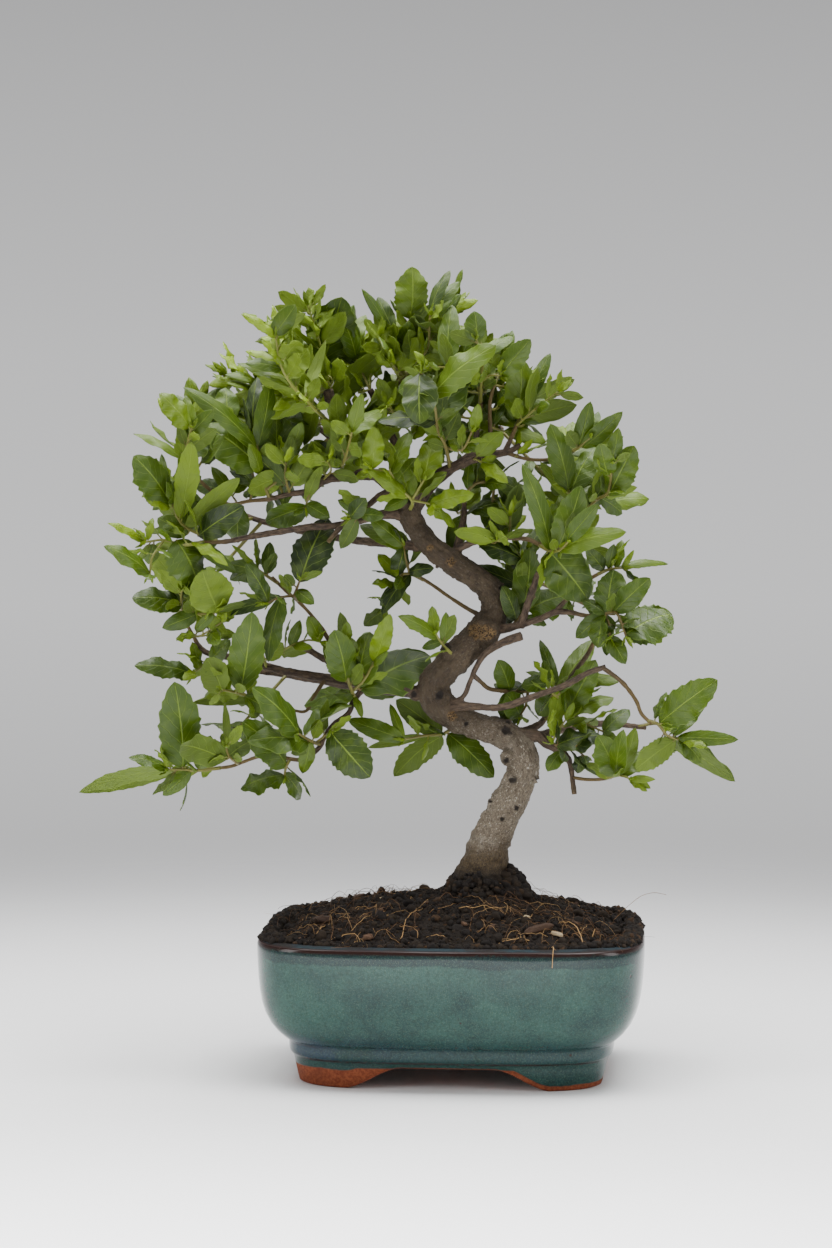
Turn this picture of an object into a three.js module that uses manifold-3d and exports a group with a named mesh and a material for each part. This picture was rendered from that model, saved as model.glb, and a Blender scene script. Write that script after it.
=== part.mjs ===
// A cork oak bonsai in its glazed stoneware pot: pot, soil, woody tree and leafy shoots.
// Millimetres, +Z up. The ground is z = 0 and the origin lies under the middle of the whole spread.
import * as THREE from "three";
import { mergeVertices } from "three/addons/utils/BufferGeometryUtils.js";
import Module from "manifold-3d";

const wasm = await Module();
wasm.setup();

// Driving dimensions of the pot and the soil
const RIM_LENGTH = 191;
const RIM_DEPTH = 143;
const POT_HEIGHT = 71;
const WALL = 7;
const FLOOR_BOTTOM = 10.5;
const FLOOR_TOP = 17;
const PLAN_POWER = 4.4;
const PLAN_SIDES = 28;
const FOOT_WIDTH = 15;
const FOOT_GAP_LENGTH = { ground: 98, top: 48 };
const FOOT_GAP_DEPTH = { ground: 64, top: 28 };
const DRAIN_RADIUS = 7;
const DRAIN_OFFSET = 38;
const MOUND = 17;
const GAP = 0.35;
const FINE_STEPS = [0.06, 0.05, 0.04, 0.03, 0.02, 0.01, 0.005, 0.08, 0.1, 0.12, 0.15];
const SAME_POINT = 2e-3;

// Driving dimensions of the tree
const BLADE = 0.7;
const PETIOLE = 0.65;
const PLANT_TURN = THREE.MathUtils.degToRad(4.5);
const SPREAD_MIDDLE = new THREE.Vector3(23.5, -2.5, 0);
const EYE = { x: -19, y: -1300, z: 275 };

// Plain vectors and solids

const vec = (x, y, z) => new THREE.Vector3(x, y, z);

// The tree is drawn as it is seen: x to the right, z up, and y away from the viewer. A point that
// lies deeper is moved along its line of sight, so that it keeps its place in the view.
function seen([x, z, y = 0]) {
  const k = (y - EYE.y) / -EYE.y;
  const p = vec(EYE.x + (x - EYE.x) * k, y, EYE.z + (z - EYE.z) * k);
  return p.applyAxisAngle(vec(0, 0, 1), PLANT_TURN).add(SPREAD_MIDDLE);
}

const eyePoint = vec(EYE.x, EYE.y, EYE.z)
  .applyAxisAngle(vec(0, 0, 1), PLANT_TURN)
  .add(SPREAD_MIDDLE);

function solidFrom(points, faces) {
  const geometry = new THREE.BufferGeometry().setFromPoints(points);
  geometry.setIndex(faces.flat());
  return solidOf(geometry);
}

function solidOf(geometry, samePoint = 1e-4) {
  const bare = geometry.clone();
  bare.deleteAttribute("normal");
  bare.deleteAttribute("uv");
  const merged = mergeVertices(bare, samePoint);
  return new wasm.Manifold(
    new wasm.Mesh({
      numProp: 3,
      vertProperties: new Float32Array(merged.attributes.position.array),
      triVerts: new Uint32Array(merged.index.array),
    }),
  );
}

function geometryOf(solid) {
  const mesh = solid.getMesh();
  const geometry = new THREE.BufferGeometry();
  geometry.setAttribute("position", new THREE.BufferAttribute(mesh.vertProperties, 3));
  geometry.setIndex(new THREE.BufferAttribute(mesh.triVerts, 1));
  geometry.computeVertexNormals();
  return geometry;
}

const unionOf = (solids) => wasm.Manifold.union(solids);

// Whether every edge, with its ends rounded as they are stored, has a face on just two sides
function isSound(geometry) {
  const { position } = geometry.attributes;
  const uses = new Map();
  const name = (i) => [position.getX(i), position.getY(i), position.getZ(i)].map((v) => v.toFixed(3));
  const corners = Array.from(geometry.index.array, (i) => name(i).join());
  for (let t = 0; t < corners.length; t += 3) {
    const face = corners.slice(t, t + 3);
    if (new Set(face).size < 3) continue;
    face.forEach((corner, i) => {
      const ends = [corner, face[(i + 1) % 3]].sort().join("|");
      uses.set(ends, (uses.get(ends) || 0) + 1);
    });
  }
  return [...uses.values()].every((count) => count === 2);
}

// Drops the slivers and specks that cuts and joins leave
function tidy(solid, name) {
  const whole = solid.asOriginal();
  for (const fine of FINE_STEPS) {
    const plain = solidOf(geometryOf(whole.simplify(fine)), SAME_POINT);
    const body = plain.decompose().sort((a, b) => b.volume() - a.volume())[0];
    if (isSound(geometryOf(body))) return body;
  }
  throw new Error(name + " can't be tidied");
}

// Joins closed rings of equal size, lowest first, into one closed body with flat ends.
function loft(rings) {
  const n = rings[0].length;
  const points = rings.flat();
  const faces = [];
  for (let r = 0; r + 1 < rings.length; r++)
    for (let i = 0; i < n; i++) {
      const a = r * n + i;
      const b = r * n + ((i + 1) % n);
      faces.push([a, b, b + n], [a, b + n, a + n]);
    }
  const top = (rings.length - 1) * n;
  for (let i = 1; i + 1 < n; i++) faces.push([0, i + 1, i], [top, top + i, top + i + 1]);
  return solidFrom(points, faces);
}

// A tapered branch along hand-set points, with a ring of so many sides at each.
function tube(points, radii, sides, relief = () => 1) {
  const rings = [];
  let side = null;
  points.forEach((p, i) => {
    const before = points[Math.max(i - 1, 0)];
    const after = points[Math.min(i + 1, points.length - 1)];
    const along = after.clone().sub(before).normalize();
    if (!side) side = Math.abs(along.x) < 0.9 ? vec(1, 0, 0) : vec(0, 1, 0);
    side = side.clone().addScaledVector(along, -side.dot(along)).normalize();
    const other = along.clone().cross(side);
    const ring = [];
    for (let k = 0; k < sides; k++) {
      const t = (k / sides) * 2 * Math.PI;
      const r = radii[i] * relief(t, i);
      ring.push(
        p.clone().addScaledVector(side, r * Math.cos(t)).addScaledVector(other, r * Math.sin(t)),
      );
    }
    rings.push(ring);
  });
  return loft(rings);
}

// The pot

// The pot's outline in plan: a long superellipse, with nearly straight sides and round corners.
function planRing(inset, z) {
  const ring = [];
  for (let k = 0; k < PLAN_SIDES; k++) {
    const t = ((k + 0.5) / PLAN_SIDES) * 2 * Math.PI;
    const reach = (c) => Math.sign(c) * Math.abs(c) ** (2 / PLAN_POWER);
    const x = (RIM_LENGTH / 2 - inset) * reach(Math.cos(t));
    const y = (RIM_DEPTH / 2 - inset) * reach(Math.sin(t));
    ring.push(vec(x, y, z).add(SPREAD_MIDDLE));
  }
  return ring;
}

// How far the outside and the inside of the wall stand in from the rim, at each height
const OUTSIDE = [
  [19.5, 0],
  [16, FLOOR_BOTTOM],
  [15.5, 19],
  [13.9, 21],
  [5.8, 30],
  [2.1, 40],
  [0.6, 52],
  [0, 69],
  [0.9, POT_HEIGHT],
];
const INSIDE = [
  [28, FLOOR_TOP],
  [19, 26],
  [10.5, 43],
  [WALL + 0.6, 62],
  [WALL, POT_HEIGHT + 0.6],
];

function frustum(bottom, top, low, high) {
  const ring = ([x, y], z) =>
    [vec(-x, -y, z), vec(x, -y, z), vec(x, y, z), vec(-x, y, z)].map((p) => p.add(SPREAD_MIDDLE));
  return loft([ring(bottom, low), ring(top, high)]);
}

function potSolid() {
  const rim = planRing(WALL, POT_HEIGHT + 0.6);
  const outer = loft([...OUTSIDE.map(([inset, z]) => planRing(inset, z)), rim]);
  const above = planRing(WALL, POT_HEIGHT + 5);
  const hollow = loft([...INSIDE.map(([inset, z]) => planRing(inset, z)), above]);
  const under = 5;
  const across = RIM_LENGTH;
  // Half a gap between feet, widened below the ground so that the cut passes right through
  const halves = ({ ground, top }) => {
    const slope = (ground - top) / 2 / FLOOR_BOTTOM;
    return [ground / 2 + slope * under, top / 2];
  };
  const [alongLow, alongHigh] = halves(FOOT_GAP_LENGTH);
  const [acrossLow, acrossHigh] = halves(FOOT_GAP_DEPTH);
  const alongGap = frustum([alongLow, across], [alongHigh, across], -under, FLOOR_BOTTOM);
  const acrossGap = frustum([across, acrossLow], [across, acrossHigh], -under, FLOOR_BOTTOM);
  const pocket = loft([
    planRing(19.5 + FOOT_WIDTH, -under),
    planRing(17 + FOOT_WIDTH, FLOOR_BOTTOM),
  ]);
  let pot = outer.subtract(hollow).subtract(alongGap).subtract(acrossGap).subtract(pocket);
  for (const x of [-DRAIN_OFFSET, DRAIN_OFFSET]) {
    const drain = new THREE.CylinderGeometry(DRAIN_RADIUS, DRAIN_RADIUS, 30, 16)
      .rotateX(Math.PI / 2)
      .translate(SPREAD_MIDDLE.x + x, SPREAD_MIDDLE.y, FLOOR_TOP);
    pot = pot.subtract(solidOf(drain));
  }
  return pot;
}

// The soil

const SOIL_EDGE = POT_HEIGHT - 1.8;
const TRUNK_FOOT = { x: 12, y: 0 };

// Height of the mound at a place given from the pot's middle
function soilHeight(x, y) {
  const fx = Math.abs(x) / (RIM_LENGTH / 2 - WALL);
  const fy = Math.abs(y) / (RIM_DEPTH / 2 - WALL);
  const out = Math.min(1, (fx ** PLAN_POWER + fy ** PLAN_POWER) ** (1 / PLAN_POWER));
  const collar = 7 * Math.exp(-((x - TRUNK_FOOT.x) ** 2 + (y - TRUNK_FOOT.y) ** 2) / 500);
  const heap = 9 * Math.exp(-((x - 28) ** 2 + (y - 4) ** 2) / 110);
  const lumps = 1.3 * Math.sin(x / 7 + 1) * Math.cos(y / 8) * (1 - out);
  return SOIL_EDGE + MOUND * (1 - out ** 2.6) + collar + heap + lumps;
}

function soilSolid(hole) {
  const walls = INSIDE.slice(0, 4).map(([inset, z]) => [inset + GAP, z]);
  walls[0][1] += GAP;
  const sides = walls.map(([inset, z]) => planRing(inset, z));
  const edge = planRing(WALL + 0.6 + GAP, SOIL_EDGE);
  const middle = SPREAD_MIDDLE;
  const tops = [0.88, 0.58, 0.26].map((share) =>
    edge.map((p) => {
      const x = (p.x - middle.x) * share;
      const y = (p.y - middle.y) * share;
      return vec(x, y, soilHeight(x, y)).add(middle);
    }),
  );
  return loft([...sides, edge, ...tops]).subtract(hole);
}

// The woody tree: x, z, y and radius at points set by hand from the photograph

const TRUNK = [
  [13, 52, 0, 9], [13, 66, 0, 13], [12, 78, 0, 17.5], [12.5, 88, 0, 16.5], [13.8, 97, 0, 13.4],
  [16, 106, 0, 11.2], [18, 115, 0, 10.2], [23, 125, -1, 9.2], [29, 137, -2, 8.5],
  [33.5, 147, -2, 8.2], [34.8, 156, -1, 7.8], [31.5, 164.5, 0, 7.4], [24, 169, 2, 7.4],
  [14, 172, 4, 6.8], [6, 175, 4, 6.9], [-1, 179, 2, 7.4], [-8, 185, -2, 8.2],
  [-10, 193, -4, 7.9], [-5, 201, -4, 7.7], [2, 208, -2, 7.9], [9, 214.5, 1, 8],
  [15, 220.5, 3, 8.6], [19, 227, 4, 7], [20, 234, 4, 6.6], [17.5, 241, 3, 6.5],
  [12, 246.5, 1, 6.1], [4.5, 251.5, -1, 6], [-3, 256, -2, 5.9], [-9.5, 261, -2, 5.8],
  [-15, 267, -1, 5.5], [-19.5, 273.5, 1, 5.6], [-23, 281, 2, 6],
];
const BRANCHES = [
  // The crown's left-hand limb with its cut stump, and what rises from it
  [[-23, 279, 2, 4], [-30, 292, 4, 3.4], [-38, 298, 4, 3], [-48, 298.5, 2, 2.8],
    [-58, 297.5, 0, 2.7], [-66, 295.5, -2, 2.4], [-72, 290.5, -4, 1.8], [-82, 289, -6, 1.4],
    [-92, 286.5, -8, 1.2], [-102, 285.5, -9, 1], [-113, 284, -11, 0.9], [-122, 291, -13, 0.9],
    [-130, 299, -14, 0.9], [-134, 303, -15, 0.8]],
  [[-43, 298.5, 3, 3], [-50, 307, 2, 3], [-55, 314, 1, 3.2], [-58, 324, 0, 3.2],
    [-61, 333, -1, 3], [-63, 341, -2, 2.9]],
  [[-22, 281, 4, 3], [-26, 300, 8, 2.4], [-30, 315, 8, 2.2], [-36, 329, 6, 2], [-42, 341, 4, 1.6]],
  [[-35, 328, 6, 1.6], [-30, 341, 5, 1.2], [-25, 348, 4, 1]],
  // The crown's right-hand limb and its three upright twigs
  [[-20, 279, 2, 3.6], [-17, 290, 0, 3], [-12, 297, -2, 2.7], [-2, 301.5, -4, 2.6],
    [8, 306.5, -5, 2.9], [18, 308.5, -5, 2.4], [27, 310, -5, 1.7], [33, 313.5, -5, 1.2]],
  [[26, 309.5, -5, 1.2], [36, 306.5, -7, 1], [45, 306, -9, 1], [53, 307.5, -10, 1],
    [60, 310.5, -11, 0.9]],
  [[10, 306, -5, 1.6], [11, 318, -3, 1.3], [13, 330, -1, 1.1], [13, 339, 0, 0.9]],
  [[19, 308, -5, 1.4], [18, 322, -4, 1.1], [18, 335, -3, 0.9], [20, 343, -2, 0.8]],
  [[25, 309, -5, 1.4], [29, 318, -4, 1.1], [31, 323, -4, 0.9]],
  // Left of the trunk's top: a long low bough and a thin one that crosses it
  [[-22, 278, 2, 3.8], [-33, 279, 0, 2.7], [-42, 277.5, -3, 2.3], [-52, 274.5, -6, 2.1],
    [-60, 273, -8, 1.9], [-72, 272.5, -10, 1.7], [-85, 270.5, -12, 1.6], [-100, 268, -14, 1.5],
    [-114, 265.2, -16, 1.2], [-127, 265, -18, 0.9]],
  [[-23, 282, -1, 2], [-33, 290, -6, 1.6], [-45, 281.5, -9, 1.5], [-55, 274, -11, 1.4],
    [-63, 265, -14, 1.1]],
  // Right of the trunk's upper half
  [[1, 258, 0, 2.8], [3, 268, 2, 2], [5, 278, 4, 1.5], [5, 287, 5, 1.1]],
  [[2, 261.5, -1, 1.9], [10, 265, -4, 1.6], [20, 267.3, -6, 1.3], [30, 267, -8, 1.2],
    [38, 266, -10, 1.1], [46, 261.5, -12, 1]],
  [[42, 263.5, -11, 1], [52, 268, -9, 0.9], [60, 274, -7, 0.9], [66, 281, -6, 0.8]],
  [[20, 221, 1, 3], [28, 222.3, -2, 2.2], [36, 224.3, -4, 1.8], [44, 227, -6, 1.6],
    [51, 230, -8, 1.7], [58, 229.8, -9, 1.3], [66, 228.2, -10, 1.1], [73, 228, -11, 0.9]],
  [[33, 222, -3, 2.1], [36, 231, -4, 2], [39, 240, -5, 1.8], [42, 249, -6, 1.5],
    [43.5, 253.5, -6, 1.3]],
  [[50, 229, -8, 1.4], [56, 236, -8, 1.2], [62, 241, -9, 1], [67, 246, -10, 1],
    [75, 250.5, -11, 0.8]],
  // The low boughs on the right
  [[-6, 184, -4, 2], [4, 187, -8, 1.4], [8, 195, -9, 1.4], [11, 202, -9, 1.5],
    [15, 208.5, -10, 1.7], [22, 213.5, -9, 2], [28, 216, -9, 2.3], [34, 218, -10, 2.3]],
  [[-4, 182, -4, 3], [4, 183, -8, 2.4], [12, 182.5, -10, 2], [20, 182, -12, 1.8],
    [27, 183, -14, 1.7], [34, 185.5, -16, 1.7], [41, 188, -18, 1.6], [48, 190.5, -20, 1.5],
    [54, 192.5, -21, 1.5], [60, 195.5, -22, 1.5], [67, 199.5, -23, 1.4], [76, 202.5, -24, 1.3]],
  [[74, 202.5, -24, 1.2], [84, 195, -25, 1.1], [91, 186, -26, 0.9], [94, 179, -27, 0.9],
    [99, 174, -28, 0.8]],
  [[34, 169, 2, 3], [41, 172.5, 6, 2], [45, 176, 8, 1.7], [50, 184.5, 9, 1.5],
    [57, 195, 10, 1.4], [62, 202, 10, 1.3], [67, 209, 9, 1.2], [70, 215, 8, 1],
    [73, 222, 6, 0.8], [77, 231, 4, 0.7]],
  [[32, 168.5, -1, 4], [42, 168, -3, 2.9], [46, 164.5, -5, 2.6], [51, 161.5, -7, 2.2],
    [56, 158, -9, 1.9], [58.5, 153, -10, 1.5], [59.5, 146, -11, 1.3], [60.5, 138.5, -12, 1.2]],
  [[59.5, 147, -11, 1], [66, 146, -13, 0.9], [73, 146, -15, 0.9], [79, 147, -17, 0.9]],
  [[9.5, 198.5, -9.2, 1.4], [14, 194.5, -3, 1.1], [18, 191.5, 0, 1.1], [27, 190, 3, 1]],
  // The low boughs on the left
  [[-13, 190, -4, 3.4], [-22, 190.5, -5, 3], [-32, 192.5, -2, 2.5], [-48, 194.5, 2, 2.4],
    [-64, 197, 6, 2.4], [-80, 199.5, 8, 2.2], [-95, 203, 8, 2], [-110, 207, 6, 1.8],
    [-120, 208.5, 4, 1.6], [-126.5, 211.5, 3, 1.5], [-131, 219, 2, 0.9], [-136, 228, 0, 0.8]],
  [[-48, 194.5, 3, 2], [-58, 203, 10, 1.8], [-66, 207, 9, 1.8], [-75, 212.5, 8, 1.9]],
  [[-49, 194, 1, 1.6], [-58, 207, 4, 1.2], [-65, 220, 2, 1.1], [-71, 228, 0, 0.9],
    [-78, 235.5, -2, 0.9], [-84, 240.5, -4, 0.9], [-91, 247.5, -6, 0.8]],
  [[-43, 194, 1, 1.8], [-50, 186, -4, 1.5], [-53, 179, -8, 1.4], [-60, 174, -10, 1.3],
    [-65, 167, -12, 1.3], [-68, 161.5, -13, 1.3], [-76, 156, -14, 1.1], [-86, 157, -14, 1],
    [-97, 157.5, -15, 0.9], [-105, 155, -16, 0.9], [-112, 152.5, -17, 0.9],
    [-120, 151.5, -18, 0.8]],
  [[-64, 197, 5, 1.2], [-70, 188, 4, 0.9], [-74, 180.5, 2, 0.9], [-82, 181, 0, 0.8],
    [-98, 184, -2, 0.8]],
  [[18, 226, 3, 1.6], [8, 231, 8, 1.1], [-3, 238, 9, 0.9], [-10, 243, 9, 0.9], [-18, 248, 8, 0.9]],
  // Boughs that reach away from the viewer and carry the back of the crown
  [[-22, 279, 5, 3.4], [-30, 290, 16, 2.8], [-42, 300, 30, 2.4], [-56, 312, 44, 1.9],
    [-70, 324, 54, 1.4]],
  [[-20, 280, 5, 3], [-12, 292, 16, 2.6], [0, 302, 28, 2.2], [12, 312, 40, 1.8],
    [24, 322, 48, 1.3]],
  [[-11, 262, 1, 3.4], [-28, 264, 14, 2.6], [-50, 266, 28, 2.2], [-74, 270, 42, 1.8],
    [-98, 276, 52, 1.4], [-116, 284, 58, 1]],
  [[-9, 188, 1, 3.4], [-26, 190, 18, 2.6], [-46, 192, 34, 2.2], [-70, 196, 48, 1.8],
    [-96, 200, 56, 1.4], [-118, 200, 60, 1]],
  [[19, 229, 7, 3.2], [30, 238, 18, 2.5], [42, 248, 32, 2.1], [54, 258, 44, 1.7],
    [64, 268, 52, 1.3]],
  [[30, 164, 4, 3.2], [44, 168, 18, 2.6], [58, 172, 32, 2.2], [76, 174, 44, 1.7],
    [96, 172, 52, 1.2]],
];
// Burls and healed scars on the bark
const KNOTS = [
  [26, 168, -5, 4.8], [-6, 187, -9, 4], [-19, 189, -4, 3.6], [-3, 210, -7, 3.4],
  [16, 221, -4, 6], [28, 146, -8, 4], [27, 157, -6, 4],
];

// The wood as one body, grown by so much all round
function woodSolid(extra) {
  const ridges = (t, i) => 1 + 0.045 * Math.sin(3 * t + i * 1.7) + 0.03 * Math.sin(5 * t - i * 2.3);
  const radii = (line) => line.map((p) => p[3] + extra);
  const parts = [tube(TRUNK.map(seen), radii(TRUNK), 8, ridges)];
  for (const line of BRANCHES) {
    const [thick, thin] = [line[0][3] > 3.1, line[0][3] < 1.7];
    const route = thick ? line : line.filter((_, i) => i % 2 === 0 || i === line.length - 1);
    parts.push(tube(route.map(seen), radii(route), thick ? 5 : thin ? 3 : 4));
  }
  for (const [x, z, y, r] of KNOTS) {
    const p = seen([x, z, y]);
    const burl = new THREE.IcosahedronGeometry(r + extra, 0).scale(1, 1, 1.15);
    parts.push(solidOf(burl.translate(p.x, p.y, p.z)));
  }
  return unionOf(parts);
}

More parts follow.
